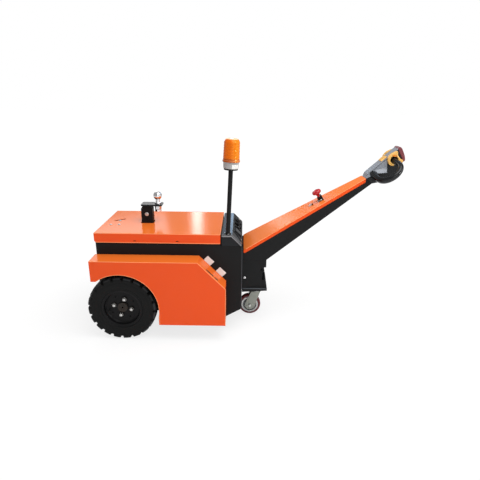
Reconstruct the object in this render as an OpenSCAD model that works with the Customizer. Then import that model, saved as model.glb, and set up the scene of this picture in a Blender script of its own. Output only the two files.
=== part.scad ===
// Three-wheel pedestrian tow tug: two driven wheels, one swivel caster below a fixed tiller.
// Millimetres, +Z up, +X towards the tiller. The origin is on the floor under the middle of the
// whole length. Pieces are drawn with the drive axle at x = 0 and set in place at the end.

/* [Chassis] */
// Half of the chassis width
body_hw = 226; // [205:1:240]
// Distance from the drive axle to the hitch end
body_back = 143; // [120:1:150]
// Distance from the drive axle to the tiller end
body_front = 663; // [640:1:690]
// Height of the chassis top edge under the lid
body_top = 597; // [580:1:620]
// Height of the battery floor
floor_z = 97; // [90:1:120]
// Gap between the gear case and the shelf over it
shelf_gap = 8; // [6:1:20]
// Start of the battery well
well_x = 215; // [200:1:230]
// Thickness of the chassis plates
plate_t = 5; // [4:0.5:6]

/* [Lid] */
// Thickness of the lid and fender sheet
sheet_t = 3; // [2:0.5:4]
// Gap between the chassis and the folded flanges
flange_gap = 2; // [1:0.5:3]
// Depth of the lid flanges
lid_flange = 54; // [40:1:60]
// Gap between the lid and the console
lid_gap = 5; // [3:1:8]

/* [Fenders] */
// How far the fender's side stands out past the tyre
fender_lap = 10; // [6:1:20]
// Height of the fender top
fender_top = 476; // [450:1:490]
// Lowest edge at the hitch end
fender_lip = 358; // [345:1:370]
// Lowest edge of the side box
skirt_z = 99; // [90:1:130]
// Distance from the tiller end of the fender to that of the chassis
fender_setback = 88; // [70:1:110]
// Gap between the tyre and the wheel arch
arch_gap = 19; // [12:1:25]
// Height and length of the slanted corner
slant = 150; // [120:1:170]

/* [Console] */
// Height of the console top
console_top = 598; // [590:1:610]
// Height of the console above its seam
console_h = 65; // [55:1:70]
// Length of the console
console_l = 115; // [105:1:125]
// Length and height of the console's slanted face
console_slant = 56; // [45:1:60]

/* [Drive wheels] */
// Radius at the tips of the lugs
tyre_r = 190; // [180:1:195]
// Width of the tyre
tyre_w = 94; // [80:1:96]
// Lugs on each shoulder
lug_count = 20; // [14:1:20]
// Depth of the lugs
lug_depth = 8; // [6:1:12]
// Radius of the rim flanges
rim_r = 114; // [108:1:118]
// Gap between the tyre and the chassis
wheel_gap = 7; // [6:1:12]
// Radius of the bolt circle
bolt_circle = 49; // [46:1:54]
// Radius of the wheel shafts
shaft_r = 15; // [12:1:18]

/* [Caster] */
// Radius of the caster wheel
caster_r = 68; // [60:0.5:72]
// Width of the caster wheel
caster_w = 36; // [30:1:40]
// Distance from the chassis to the swivel axis
swivel_lead = 89; // [84:1:95]
// Trail of the caster wheel
caster_trail = 36; // [30:1:42]
// Height of the caster's top plate above its wheel
caster_rise = 44; // [40:1:52]

/* [Tiller] */
// Height of the base box floor
base_z = 232; // [225:1:245]
// Height of the base box
base_h = 180; // [165:1:195]
// Length of the base box
base_l = 143; // [130:1:155]
// Half width of the arm at its lower end
arm_hw = 143; // [130:1:155]
// Half width of the arm at the handle
arm_tip_hw = 46; // [42:1:54]
// Distance from the chassis to the start of the arm cover
cover_lead = 8; // [6:1:20]
// Height of the start of the arm cover above the base box
cover_rise = 67; // [58:1:76]
// Level length of the arm cover
arm_run = 682; // [650:1:710]
// Slope of the arm cover in degrees
arm_deg = 30.7; // [29:0.1:33]
// Depth of the arm cover's flanges
cover_flange = 19.5; // [15:0.5:24]
// Depth of the arm at the handle
arm_tip_depth = 30; // [24:1:36]
// Distance from the start of the arm cover to the emergency knob
stop_run = 447; // [410:1:470]

/* [Handle] */
// Slope of the handle head in degrees
head_deg = 42.5; // [38:0.5:47]
// Length of the handle head
head_len = 229; // [215:1:245]
// Half width of the handle head
head_hw = 32; // [28:1:36]
// Half width of the loop grips
grip_r = 15; // [13:0.5:16]
// Sideways reach of a loop grip
loop_reach = 158; // [140:1:170]
// Droop of the loop grips in degrees
loop_droop = 20; // [14:1:24]

/* [Hitch] */
// Distance from the drive axle to the post
post_x = 102; // [90:1:110]
// Length of the post's section
post_l = 67; // [60:1:72]
// Width of the post's section
post_w = 45; // [40:1:50]
// Height of the hitch plate's underside
hitch_z = 702; // [690:1:720]
// Thickness of the hitch plate
hitch_t = 10; // [8:1:12]
// Radius of the tow ball
ball_r = 25; // [24:0.5:26]
// Distance from the post to the ball
ball_lead = 64; // [58:1:70]

/* [Beacon] */
// Height of the post's top
beacon_z = 951; // [900:1:980]
// Radius of the post
beacon_post_r = 12; // [9:0.5:14]
// Radius of the lens
lens_r = 43; // [38:1:46]
// Height of the lens
lens_h = 108; // [95:1:115]
// Lean of the post in degrees
beacon_lean = 2.3; // [0:0.1:3]

/* [Hidden] */
$fn = 48;
cut = 1;                                    // how far a cutting shape passes a face
orange = [0.86, 0.31, 0.14];
black = [0.14, 0.14, 0.15];
zinc = [0.72, 0.72, 0.70];
grey = [0.52, 0.56, 0.60];
yellow = [0.95, 0.70, 0.20];
wheel_y = body_hw + wheel_gap + tyre_w / 2; // from the middle plane to a wheel's middle
gear_r = 62;                                // radius of the gear case around the axle
shelf_z = tyre_r + gear_r + shelf_gap;      // underside of the shelf over the axle
console_x = body_front - console_l;
console_seam = console_top - console_h;
lid_end = console_x - lid_gap;
fender_w = wheel_gap + tyre_w + fender_lap;
fender_end = body_front - fender_setback;
swivel_x = body_front + swivel_lead;
caster_h = 2 * caster_r + caster_rise;
base_top = base_z + base_h;
base_end = body_front + base_l;
cover_x = body_front + cover_lead;
cover_z = base_top + cover_rise;
stop_x = cover_x + stop_run;
ball_x = post_x + ball_lead;
tunnel_z = 130;                             // lower edge of the side plates beside the axle
ramp_h = 51;                                // rise of the floor towards the tiller end
ramp_l = 89;
lid_top = body_top + sheet_t;
arch_r = tyre_r + arch_gap;
axle_r = 32;
axle_flange = [55, 10];                     // radius, thickness
bore_gap = 0.05;                            // running clearance of every shaft
disc_y = 16;                                // inner face of the rim disc from the wheel's middle
disc_t = 4;
vent_circle = 70;                           // radius of the circle of small holes in the disc
bolt_turn = -14;                            // degrees from the level to the first wheel bolt
tip_x = cover_x + arm_run;
tip_z = cover_z + arm_run * tan(arm_deg);
cover_gap = 0.5;
under_cover = (sheet_t + cover_gap) / cos(arm_deg);
arm_high = [tip_x, tip_z - under_cover];    // upper and lower corners of the arm's end face
arm_low = [tip_x + 40, tip_z - arm_tip_depth];
base_floor_t = 16;
bolt_r = 7;
head_x = tip_x - 7;
head_z = tip_z + 11;
strip_t = 5;                                // thickness of the handle's top strip past its side wings
wing = [[20, -24], [44, -36], [69, -39], [106, -64], [124, -45], [156, -strip_t]];  // shell's lower edge
root_v = -28;                               // middle of the loop grips at their roots
// Edge between the neck and the belly button, and the button's round outer face
belly_seat = [[head_len - 1, -strip_t], [head_len - 5, -24], [head_len - 10, -46], [head_len - 20, -80]];
belly_face = [
    [head_len - 9, -82], [head_len - 2, -74], [head_len + 7, -56], [head_len + 14, -34],
    [head_len + 19, -14], [head_len + 16, -2], [head_len + 7, 3], [head_len, 0]];
reach_x = head_x + max([for (p = belly_face) p[0] * cos(head_deg) - p[1] * sin(head_deg)]);
mid_x = (reach_x - tyre_r) / 2;

// Half width of the tapered arm and its box at a distance along the vehicle
function taper_hw(x) = arm_hw - (arm_hw - arm_tip_hw) * (x - cover_x) / arm_run;
// Height of the arm cover's top at a distance along the vehicle
function cover_at(x) = cover_z + (x - cover_x) * tan(arm_deg);

// Sets a piece drawn with the drive axle at x = 0 into the part's own frame
module placed() translate([-mid_x, 0, 0]) children();

// An outline in the X and Z plane, extruded across the vehicle between two sideways places
module across(y0, y1) translate([0, y1, 0]) rotate([90, 0, 0]) linear_extrude(y1 - y0) children();

// Turns a shape revolved about +Z onto a wheel's axis, its +Z side facing outwards
module on_axle(side, z) translate([0, side * wheel_y, z]) rotate([-side * 90, 0, 0]) children();

// The wedge in plan that the arm and its base box fit in, narrowed on each side by an inset
module plan_wedge(x0, x1, inset, z0, z1)
    translate([0, 0, z0]) linear_extrude(z1 - z0)
        polygon([[x0, -taper_hw(x0) + inset], [x1, -taper_hw(x1) + inset],
                 [x1, taper_hw(x1) - inset], [x0, taper_hw(x0) - inset]]);

module chassis() color(black) placed() difference() {
    across(-body_hw, body_hw) polygon([
        [-body_back, tunnel_z], [well_x, tunnel_z], [well_x, floor_z], [body_front - ramp_l, floor_z],
        [body_front, floor_z + ramp_h], [body_front, console_seam], [lid_end, console_seam],
        [lid_end, body_top], [-body_back, body_top]]);
    across(-body_hw + plate_t, body_hw - plate_t) polygon([
        [-body_back + plate_t, shelf_z + plate_t], [well_x + plate_t, shelf_z + plate_t],
        [well_x + plate_t, floor_z + plate_t], [body_front - ramp_l - cut, floor_z + plate_t],
        [body_front - plate_t, floor_z + ramp_h + plate_t * 0.6],
        [body_front - plate_t, body_top + cut], [-body_back + plate_t, body_top + cut]]);
    across(-body_hw + plate_t, body_hw - plate_t) polygon([
        [-body_back + plate_t, 0], [well_x, 0], [well_x, shelf_z], [-body_back + plate_t, shelf_z]]);
    across(-body_hw - cut, body_hw + cut) translate([0, tyre_r]) circle(axle_r + 1);
}

lid_slots = [74, 306];                      // slots in the side flanges, along the vehicle
module lid() color(orange) placed() difference() {
    reach = body_hw + flange_gap;
    back = body_back + flange_gap;
    lip_z = lid_top - lid_flange;
    relief = 9;
    translate([-back - sheet_t, -reach - sheet_t, lip_z])
        cube([back + sheet_t + lid_end, 2 * (reach + sheet_t), lid_flange]);
    translate([-back, -reach, lip_z - cut])
        cube([back + lid_end + cut, 2 * reach, lid_flange - sheet_t + cut]);
    translate([post_x - post_l / 2 - 4, -post_w / 2 - 8, body_top - cut])
        cube([post_l + 6, post_w + 16, sheet_t + 2 * cut]);
    translate([-72, 30, body_top - cut]) rotate([0, 0, 36]) pull_slot();
    across(-reach - 2 * sheet_t, reach + 2 * sheet_t) {
        for (x = lid_slots) translate([x - 7, lip_z + 9]) square([14, 5]);
        translate([-back - sheet_t, lip_z]) rotate(45) square(relief * sqrt(2), center = true);
    }
}

// Slot in the lid for lifting it by hand
module pull_slot() linear_extrude(sheet_t + 2 * cut) {
    square([56, 14], center = true);
    for (end = [-28, 28]) translate([end, 0]) circle(7);
}

module fender(side) color(orange) placed() difference() {
    inner = side > 0 ? body_hw : -body_hw - fender_w;
    back = -body_back - 9;
    skirt_x = arch_r - 4;
    across(inner, inner + fender_w) polygon([
        [back, fender_lip], [back, fender_top], [fender_end - slant, fender_top],
        [fender_end, fender_top - slant], [fender_end, skirt_z], [skirt_x, skirt_z],
        [skirt_x, tyre_r], [0, tyre_r], [0, fender_lip]]);
    bend = sheet_t * tan(22.5);
    across(inner - (side > 0 ? cut : -sheet_t), inner + fender_w - (side > 0 ? sheet_t : -cut)) polygon([
        [back + sheet_t, -cut], [back + sheet_t, fender_top - sheet_t],
        [fender_end - slant - bend, fender_top - sheet_t],
        [fender_end - sheet_t, fender_top - slant - bend], [fender_end - sheet_t, -cut]]);
    across(-body_hw - fender_w - cut, body_hw + fender_w + cut)
        translate([0, tyre_r]) circle(arch_r, $fn = 96);
}
module fender_left() fender(1);
module fender_right() fender(-1);

console_lap = 5;                            // how far the cap stands out past the skirt's sides
console_band = 14;                          // depth of the cap's edge
console_bevel = 10;                         // width of the bevel along the cap's long edges
// The line of the console's top and slanted face, moved inwards by a depth
function console_line(depth) = [
    [console_x, console_top - depth],
    [body_front - console_slant - depth * tan(22.5), console_top - depth],
    [body_front, console_top - console_slant - depth / cos(45)]];
module console_slab(k, half, depth) across(-half, half) polygon([
    console_line(depth)[k], console_line(depth)[k + 1],
    console_line(console_band)[k + 1], console_line(console_band)[k]]);
module console() color(black) placed() difference() {
    wall = 4;
    half = body_hw + console_lap;
    union() {
        across(-body_hw, body_hw)
            polygon(concat([[console_x, console_seam]], console_line(2), [[body_front, console_seam]]));
        for (k = [0, 1]) hull() {
            console_slab(k, half, console_bevel);
            console_slab(k, half - console_bevel, 0);
        }
    }
    across(-body_hw + wall, body_hw - wall) polygon([
        [console_x + wall, console_seam - cut], [console_x + wall, console_top - wall],
        console_line(wall)[1], console_line(wall)[2] + [-wall, wall],
        [body_front - wall, console_seam - cut]]);
    translate([console_x - cut, -half - cut, 0])
        cube([console_l + 2 * cut, 2 * (half + cut), console_seam]);
}

// Moves to the console's slanted face: +X down the slope, +Z out of it
module on_console() translate([body_front - console_slant, 0, console_top]) rotate([0, 45, 0]) children();

panel_edge = 7;                             // from the slanted face's edges to the panel
panel_end = [90, 40];                       // from the console's right side to the panel, above and below
pads = [-88, 145];                          // middles of the raised pads, across the vehicle
module console_panel() color([0.2, 0.2, 0.22]) placed() on_console() translate([panel_edge, 0, 0]) {
    w = console_slant / cos(45) - 2 * panel_edge;
    far = body_hw - panel_edge;
    linear_extrude(2)
        polygon([[0, panel_end[0] - body_hw], [w, panel_end[1] - body_hw], [w, far], [0, far]]);
    for (y = pads) translate([6, y - 34, 2]) cube([w - 12, 68, 3]);
    for (y = [-20, 50]) translate([6, y, 2]) cube([w - 12, 24, 2]);
    rail = far - panel_end[0] + body_hw - 12;
    for (x = [2, w - 5]) translate([x, far - 6 - rail, 2]) cube([3, rail, 2]);
}

// Two blank plates on each chassis side, along the slanted corner of the fender
plate = [50, 33];
plate_h = 1.5;
module side_plates() color([0.92, 0.92, 0.9]) placed() {
    rise = (plate[1] / 2 + 0.5) * cos(45);
    for (side = [0, 1], down = [42, 109]) mirror([0, side, 0])
        translate([fender_end - slant + down + rise, body_hw + plate_h, fender_top - down + rise])
            rotate([90, 45, 0])
                linear_extrude(plate_h) square(plate, center = true);
}

beacon_y = -body_hw + 19;
beacon_x = body_front - 80;
// Moves to the foot of the leaning beacon post
module on_beacon() translate([beacon_x, beacon_y, console_top]) rotate([0, beacon_lean, 0]) children();

beacon_l = beacon_z - console_top;
beacon_cap = 6;                             // thickness of the disc on the post
beacon_seat = 51;                           // from the post's top to the lens
module beacon_post() color(black) placed() {
    translate([beacon_x, beacon_y, console_top]) cylinder(h = 4, r = beacon_post_r + 7);
    on_beacon() {
        translate([0, 0, 2]) cylinder(h = beacon_l - 2, r = beacon_post_r);
        translate([0, 0, beacon_l]) cylinder(h = beacon_cap, r = lens_r - 6);
    }
}

module beacon_base() color([0.78, 0.78, 0.78]) placed() on_beacon()
    translate([0, 0, beacon_l]) rotate_extrude() polygon([
        [0, beacon_cap], [lens_r - 9, beacon_cap], [lens_r - 3, beacon_cap + 4],
        [lens_r - 2, beacon_seat - 12], [lens_r + 2, beacon_seat - 10], [lens_r + 2, beacon_seat - 2],
        [lens_r, beacon_seat], [0, beacon_seat]]);

rib_pitch = 14;
module beacon_lens() color([0.96, 0.5, 0.08]) placed() on_beacon()
    translate([0, 0, beacon_l + beacon_seat]) rotate_extrude() polygon(concat(
        [[0, 0], [lens_r, 0], [lens_r, 8], [lens_r - 2, 8]],
        [for (k = [0:5], p = [[-2, 0], [-0.5, 7]])
            [lens_r + p[0] - k * 0.3, 10 + k * rib_pitch + p[1]]],
        [[lens_r - 5, lens_h - 11], [lens_r - 10, lens_h - 3], [lens_r - 15, lens_h], [0, lens_h]]));

pin_r = 6;
pin_z = hitch_z - 50;
shank_r = 11;
module hitch_post() color(black) placed() difference() {
    wall = 6;
    chamfer = [12, 18];
    x0 = post_x - post_l / 2;
    x1 = post_x + post_l / 2;
    base = shelf_z + plate_t;
    across(-post_w / 2, post_w / 2) polygon([
        [x0, base], [x1, base], [x1, hitch_z - chamfer[1]], [x1 - chamfer[0], hitch_z],
        [x0 + chamfer[0], hitch_z], [x0, hitch_z - chamfer[1]]]);
    translate([x0 + wall, -post_w / 2 + wall, base - cut])
        cube([post_l - 2 * wall, post_w - 2 * wall, hitch_z - base - chamfer[1]]);
    translate([post_x, 0, pin_z]) rotate([90, 0, 0])
        cylinder(h = post_w + 2 * cut, r = pin_r + 0.1, center = true);
}

module hitch_plate() color(black) placed() difference() {
    corner = 6;
    half = 36;
    x0 = post_x - post_l / 2 + 3;
    x1 = ball_x + 27;
    translate([0, 0, hitch_z]) linear_extrude(hitch_t) polygon([
        [x0 + corner, -half], [x1 - corner, -half], [x1, -half + corner], [x1, half - corner],
        [x1 - corner, half], [x0 + corner, half], [x0, half - corner], [x0, -half + corner]]);
    translate([ball_x, 0, hitch_z - cut]) cylinder(h = hitch_t + 2 * cut, r = shank_r + 0.1);
}

module hitch_pin() color(zinc) placed() translate([post_x, 0, pin_z]) rotate([90, 0, 0]) {
    cylinder(h = post_w + 10, r = pin_r, center = true);
    for (side = [-1, 1]) translate([0, 0, side * (post_w / 2 + 4.1)]) {
        cylinder(h = 8, r = 9.5, $fn = 6, center = true);
        translate([0, 0, -side * 3]) cylinder(h = 2, r = 11.5, center = true);
    }
}

ball_rise = 47;                             // from the plate's top to the ball's middle
shank_l = 49;
module tow_ball() color(zinc) placed() translate([ball_x, 0, hitch_z + hitch_t]) {
    cylinder(h = 8, r = 19);
    translate([0, 0, 8]) cylinder(h = ball_rise - 8, r = 12.5);
    translate([0, 0, ball_rise]) sphere(ball_r);
    translate([0, 0, -shank_l]) cylinder(h = shank_l, r = shank_r);
}

// Washer, nut and lock nut under the hitch plate
module ball_nut() color(zinc) placed() translate([ball_x, 0, hitch_z]) difference() {
    union() {
        translate([0, 0, -3]) cylinder(h = 3, r = 21);
        translate([0, 0, -23]) cylinder(h = 20, r = 19.6, $fn = 6);
        translate([0, 0, -37]) rotate([0, 0, 20]) cylinder(h = 13, r = 19, $fn = 6);
        translate([0, 0, -25]) cylinder(h = 3, r = 15);
    }
    translate([0, 0, -39]) cylinder(h = 41, r = shank_r + 0.05);
}

battery_gap = [8, 21, 15];                  // to the well's wall, the side plates and the ramp
battery_h = 230;
module battery_pack() color([0.25, 0.25, 0.28]) placed() {
    start = well_x + plate_t + battery_gap[0];
    half = body_hw - plate_t - battery_gap[1];
    translate([start, -half, floor_z + plate_t])
        cube([body_front - ramp_l - battery_gap[2] - start, 2 * half, battery_h]);
}

motor_x = 130;
motor_r = [58, 55, 46];                     // gear case around the motor, motor, motor's end cap
motor_l = [150, 22];                        // motor, end cap
module axle_housing() color([0.3, 0.3, 0.32]) placed() difference() {
    union() {
        translate([0, 0, tyre_r]) rotate([90, 0, 0]) cylinder(h = 2 * body_hw, r = axle_r, center = true);
        for (side = [-1, 1]) translate([0, side * (body_hw + axle_flange[1] / 2), tyre_r])
            rotate([90, 0, 0]) cylinder(h = axle_flange[1], r = axle_flange[0], center = true);
        across(-60, 20) {
            translate([0, tyre_r]) circle(gear_r);
            translate([motor_x, tyre_r]) circle(motor_r[0]);
            translate([0, tyre_r - motor_r[0]]) square([motor_x, 2 * motor_r[0]]);
        }
    }
    for (side = [-1, 1]) translate([0, side * (body_hw + axle_flange[1]), tyre_r])
        rotate([side * 90, 0, 0]) translate([0, 0, -cut]) cylinder(h = 71, r = shaft_r + bore_gap);
}

module drive_motor() color(black) placed() translate([motor_x, 20, tyre_r]) rotate([-90, 0, 0]) {
    cylinder(h = motor_l[0], r = motor_r[1]);
    translate([0, 0, motor_l[0]]) cylinder(h = motor_l[1], r = motor_r[2]);
}

bead_r = rim_r - 10;
bead_y = 37;
sidewall = [rim_r + 16, tyre_w / 2 - 0.5];  // widest place of the tyre's side
bead_slope = (sidewall[1] - bead_y) / (sidewall[0] - bead_r);
lug_turn = 360 / lug_count;                 // degrees from a lug to the next on the same shoulder
lug_gap = 5.5;                              // degrees across the notch between two lugs
lug_start = -4;                             // degrees that the first notch is turned by
// One side of the tyre in a radial section, as [radius, sideways], from the sidewall to the crown:
// where a lug stands and at the bottom of a notch
lug_side = [
    [tyre_r - 22, tyre_w / 2], [tyre_r - 8, tyre_w / 2 - 2], [tyre_r - 2, tyre_w / 2 - 11], [tyre_r, 12]];
notch_side = [
    [tyre_r - 22, tyre_w / 2 - 0.5], [tyre_r - 9 - lug_depth, tyre_w / 2 - 4],
    [tyre_r - 3 - lug_depth, tyre_w / 2 - 15], [tyre_r - lug_depth, 12]];
// A whole section from the bead on the one side to the bead on the other
function tyre_section(outside, inside, start) =
    concat([start, sidewall], outside,
        [for (p = [inside[3], inside[2], inside[1], inside[0], sidewall, start]) [p[0], -p[1]]]);

// Six sections for each lug: the two walls and the bottom of the notch in the outer shoulder, then
// the same for the inner shoulder, whose notches lie half a lug further on
module tyre(side) color([0.1, 0.1, 0.1]) placed() on_axle(side, tyre_r) {
    turns = [for (middle = [0, lug_turn / 2], edge = [-1, 0, 1]) middle + edge * lug_gap / 2];
    start = [bead_r / cos(lug_turn / 8), bead_y];
    plain = tyre_section(lug_side, lug_side, start);
    sections = [
        plain, tyre_section(notch_side, lug_side, start), plain,
        plain, tyre_section(lug_side, notch_side, start), plain];
    n = len(turns) * lug_count;
    m = len(plain);
    points = [for (lug = [0:lug_count - 1], k = [0:5])
        let (a = lug_start + lug * lug_turn + turns[k])
        for (p = sections[k]) [p[0] * cos(a), p[0] * sin(a), p[1]]];
    faces = [for (k = [0:n - 1], i = [0:m - 1])
        let (k2 = (k + 1) % n, i2 = (i + 1) % m,
             near = [k * m + i, k * m + i2], far = [k2 * m + i, k2 * m + i2])
        for (face = [[near[0], far[0], far[1]], [near[0], far[1], near[1]]]) face];
    polyhedron(points, faces);
}
module tyre_left() tyre(1);
module tyre_right() tyre(-1);

// Dished rim: flat disc, raised ring, barrel and the two flanges that hold the beads
module rim(side) color(black) placed() on_axle(side, tyre_r) difference() {
    seat = bead_r - 0.3;
    wall = 3.5;
    lip = 3;
    face = bead_y + 0.3;
    edge = face + (rim_r - bead_r) * bead_slope;
    barrel = seat - wall;
    bend = 14;
    rotate_extrude() polygon(concat(
        [[28, disc_y], [barrel - bend, disc_y]],
        [for (a = [-60, -30, 0]) [barrel - bend + bend * cos(a), disc_y + bend + bend * sin(a)]],
        [[barrel, face + lip], [rim_r, edge + lip], [rim_r, edge], [seat, face], [seat, -face],
         [rim_r, -edge], [rim_r, -edge - lip], [barrel, -face - lip],
         [barrel, disc_y - disc_t], [28, disc_y - disc_t]]));
    for (k = [0:3]) rotate([0, 0, k * 90 + bolt_turn]) {
        translate([bolt_circle, 0, 0]) cylinder(h = 40, r = bolt_r + 0.5);
        rotate([0, 0, 45]) translate([vent_circle, 0, 0]) cylinder(h = 40, r = 4);
    }
}
module rim_left() rim(1);
module rim_right() rim(-1);

module hub(side) color([0.45, 0.4, 0.35]) placed() on_axle(side, tyre_r) {
    root = -(wheel_y - body_hw - axle_flange[1]);
    disc = disc_y - disc_t;
    translate([0, 0, disc - 10]) cylinder(h = 10, r = 64);
    translate([0, 0, root + 5]) cylinder(h = disc - root - 14, r = 42);
    translate([0, 0, root - 62]) cylinder(h = 70, r = shaft_r);
    difference() {
        translate([0, 0, disc]) cylinder(h = 15, r = 27.5);
        translate([0, 0, disc + 6]) cylinder(h = 10, r = 5);
    }
    for (k = [0:3]) rotate([0, 0, k * 90 + bolt_turn]) translate([bolt_circle, 0, disc]) {
        cylinder(h = 10, r = bolt_r);
        translate([0, 0, disc_t]) cylinder(h = 4, r = 13);
        translate([0, 0, disc_t + 3]) cylinder(h = 11, r = 12, $fn = 6);
    }
}
module hub_left() hub(1);
module hub_right() hub(-1);

notch_z = 121;                              // middle of the notch in the base box's back edge
notch_r = 12;
module tiller_base() color(black) placed() {
    wall = 5;
    difference() {
        intersection() {
            across(-arm_hw - 20, arm_hw + 20) polygon([
                [body_front, base_z], [base_end + 4, base_z], [base_end - 12, base_z + 106],
                [base_end, base_z + 118], [base_end, base_top], [body_front, base_top]]);
            plan_wedge(body_front - cut, base_end + 20, cover_gap + sheet_t, 0, base_top + 50);
        }
        intersection() {
            across(-arm_hw - 20, arm_hw + 20) polygon([
                [body_front + wall, base_z + wall], [base_end - 12, base_z + wall],
                [base_end - 22, base_z + 86], [base_end - wall, base_z + 134],
                [base_end - wall, base_top + cut], [body_front + wall, base_top + cut]]);
            plan_wedge(body_front - cut, base_end + 20, cover_gap + sheet_t + wall, 0, base_top + 50);
        }
        across(-arm_hw - 30, arm_hw + 30) {
            translate([base_end - 20, base_z + notch_z]) circle(notch_r);
            translate([base_end - 20, base_z + notch_z - notch_r]) square([40, 2 * notch_r]);
            translate([base_end - 22, base_z + 52]) square([15, 51]);
        }
    }
}

module tiller_arm() color(black) placed() {
    wall = 4;
    outline = [
        [body_front, base_top], [base_end, base_top], arm_low, arm_high,
        [body_front, cover_at(body_front) - under_cover]];
    difference() {
        intersection() {
            across(-arm_hw - 20, arm_hw + 20) polygon(outline);
            plan_wedge(body_front - cut, tip_x + 60, cover_gap + sheet_t, 0, tip_z + 50);
        }
        intersection() {
            across(-arm_hw - 20, arm_hw + 20) polygon([
                [body_front + wall, base_top - cut], [base_end - wall, base_top - cut],
                [base_end - wall, base_top + wall * 0.4], [tip_x + 12, tip_z - arm_tip_depth - 14],
                [tip_x - 12, tip_z - sheet_t - wall - 9],
                [body_front + wall, cover_at(body_front) - under_cover - wall]]);
            plan_wedge(body_front - cut, tip_x + 60, cover_gap + sheet_t + wall, 0, tip_z + 50);
        }
    }
}

module arm_cover() color(orange) placed() difference() {
    drop = cover_flange / cos(arm_deg);
    thick = sheet_t / cos(arm_deg);
    corner = 11;
    intersection() {
        across(-arm_hw - 20, arm_hw + 20) polygon([
            [cover_x, cover_z - drop + corner], [cover_x + 3, cover_z - drop + 5],
            [cover_x + corner, cover_at(cover_x + corner) - drop],
            [tip_x, tip_z - drop], [tip_x, tip_z], [cover_x, cover_z]]);
        plan_wedge(cover_x - 30, tip_x + 30, 0, 0, tip_z + 50);
    }
    intersection() {
        across(-arm_hw - 20, arm_hw + 20) polygon([
            [cover_x - 30, cover_at(cover_x - 30) - 2 * drop], [tip_x + 30, cover_at(tip_x + 30) - 2 * drop],
            [tip_x + 30, cover_at(tip_x + 30) - thick], [cover_x - 30, cover_at(cover_x - 30) - thick]]);
        plan_wedge(cover_x - 40, tip_x + 40, sheet_t, 0, tip_z + 50);
    }
}

module caster_mount() color(black) placed() {
    foot = [96, 86];
    riser_top = base_z - base_floor_t;
    translate([0, 0, riser_top]) linear_extrude(base_floor_t) polygon([
        [body_front + 2, -taper_hw(body_front)], [base_end + 8, -taper_hw(base_end)],
        [base_end + 8, taper_hw(base_end)], [body_front + 2, taper_hw(body_front)]]);
    translate([swivel_x, 0, caster_h]) linear_extrude(riser_top - caster_h) difference() {
        square(foot, center = true);
        square([foot[0] - 12, foot[1] - 12], center = true);
    }
}

head_boss = [30, 12];                       // radius and depth of the swivel bearing
module caster_plate() color(zinc) placed() translate([swivel_x, 0, caster_h]) difference() {
    union() {
        translate([-52, -43, -4]) cube([104, 86, 4]);
        translate([0, 0, -4 - head_boss[1]]) cylinder(h = head_boss[1], r = head_boss[0]);
    }
    translate([0, 0, -30]) cylinder(h = 40, r = 8 + bore_gap);
}

fork_z = caster_h - 4 - head_boss[1] - 0.5; // top of the fork's crown
fork_y = caster_w / 2 + 5;
axle_at = [swivel_x - caster_trail, caster_r];
// The fork's legs lean back from the crown to the axle: left and right edge, from the axle's middle
leg_back = [[-26, 15], [-18, 35], [caster_trail - 25, fork_z - 2 - caster_r]];
leg_front = [[caster_trail + 28, fork_z - 2 - caster_r], [50, 53], [42, 32], [37, 4], [28, -21]];
module caster_fork() color(zinc) placed() {
    translate([swivel_x, 0, fork_z - 4]) cylinder(h = 4, r = 36);
    translate([swivel_x, 0, fork_z]) cylinder(h = 14, r = 8);
    for (side = [-1, 1]) difference() {
        across(side > 0 ? fork_y : -fork_y - 4, side > 0 ? fork_y + 4 : -fork_y) translate(axle_at) {
            polygon(concat(leg_back, leg_front));
            circle(30);
        }
        across(-50, 50) translate(axle_at) circle(6.05);
    }
}

module caster_axle() color(zinc) placed() translate([axle_at[0], 0, axle_at[1]]) rotate([90, 0, 0]) {
    cylinder(h = 2 * fork_y + 20, r = 6, center = true);
    for (side = [-1, 1]) translate([0, 0, side * (fork_y + 8.1)])
        cylinder(h = 8, r = 10, $fn = 6, center = true);
}

// Sections of the caster wheel as [radius, half width]: hub, dust groove and rim, then the tread
tread_r = caster_r - 14;
core_side = [
    [6 + bore_gap, caster_w / 2 + 3], [16, caster_w / 2 + 3], [18, caster_w / 2 - 1], [36, caster_w / 2 - 3],
    [37, 6], [41, 6], [42, caster_w / 2 - 1], [tread_r, caster_w / 2 - 1]];
tread_side = [
    [tread_r, caster_w / 2], [caster_r - 6, caster_w / 2],
    [caster_r - 1.5, caster_w / 2 - 5], [caster_r, 6]];
module caster_ring(side) translate([axle_at[0], 0, axle_at[1]]) rotate([90, 0, 0]) rotate_extrude()
    polygon(concat(side, [for (k = [len(side) - 1:-1:0]) [side[k][0], -side[k][1]]]));
module caster_core() color([0.75, 0.75, 0.73]) placed() caster_ring(core_side);
module caster_tread() color([0.35, 0.05, 0.07]) placed() caster_ring(tread_side);

// Moves onto the arm cover at a distance along the vehicle: +Z out of it
module on_cover(x) translate([x, 0, cover_at(x)]) rotate([0, -arm_deg, 0]) children();

stop_neck = 25;                             // from the cover to the knob
module stop_bracket() color(black) placed() on_cover(stop_x) {
    translate([-18, -20, 0]) cube([34, 40, 3]);
    translate([0, 0, 3]) cylinder(h = stop_neck - 3, r = 13);
    translate([10, -14, 0]) cube([6, 28, stop_neck + 5]);
}

module stop_knob() color([0.75, 0.1, 0.13]) placed() on_cover(stop_x) translate([0, 0, stop_neck])
    rotate_extrude() polygon([
        [0, 0], [9, 0], [8, 6], [12, 18], [21, 22], [25.5, 26], [26.5, 31], [24.5, 37], [18, 42],
        [9, 45], [0, 45.5]]);

module key_switch() color(zinc) placed() on_cover(stop_x - 55) {
    translate([-12, -9, 0]) cube([24, 18, 4]);
    translate([0, 0, 4]) cylinder(h = 3, r = 7);
}

// Moves to the handle head: +X along it, +Z out of its flat top
module on_head() translate([head_x, 0, head_z]) rotate([0, -head_deg, 0]) children();

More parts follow.
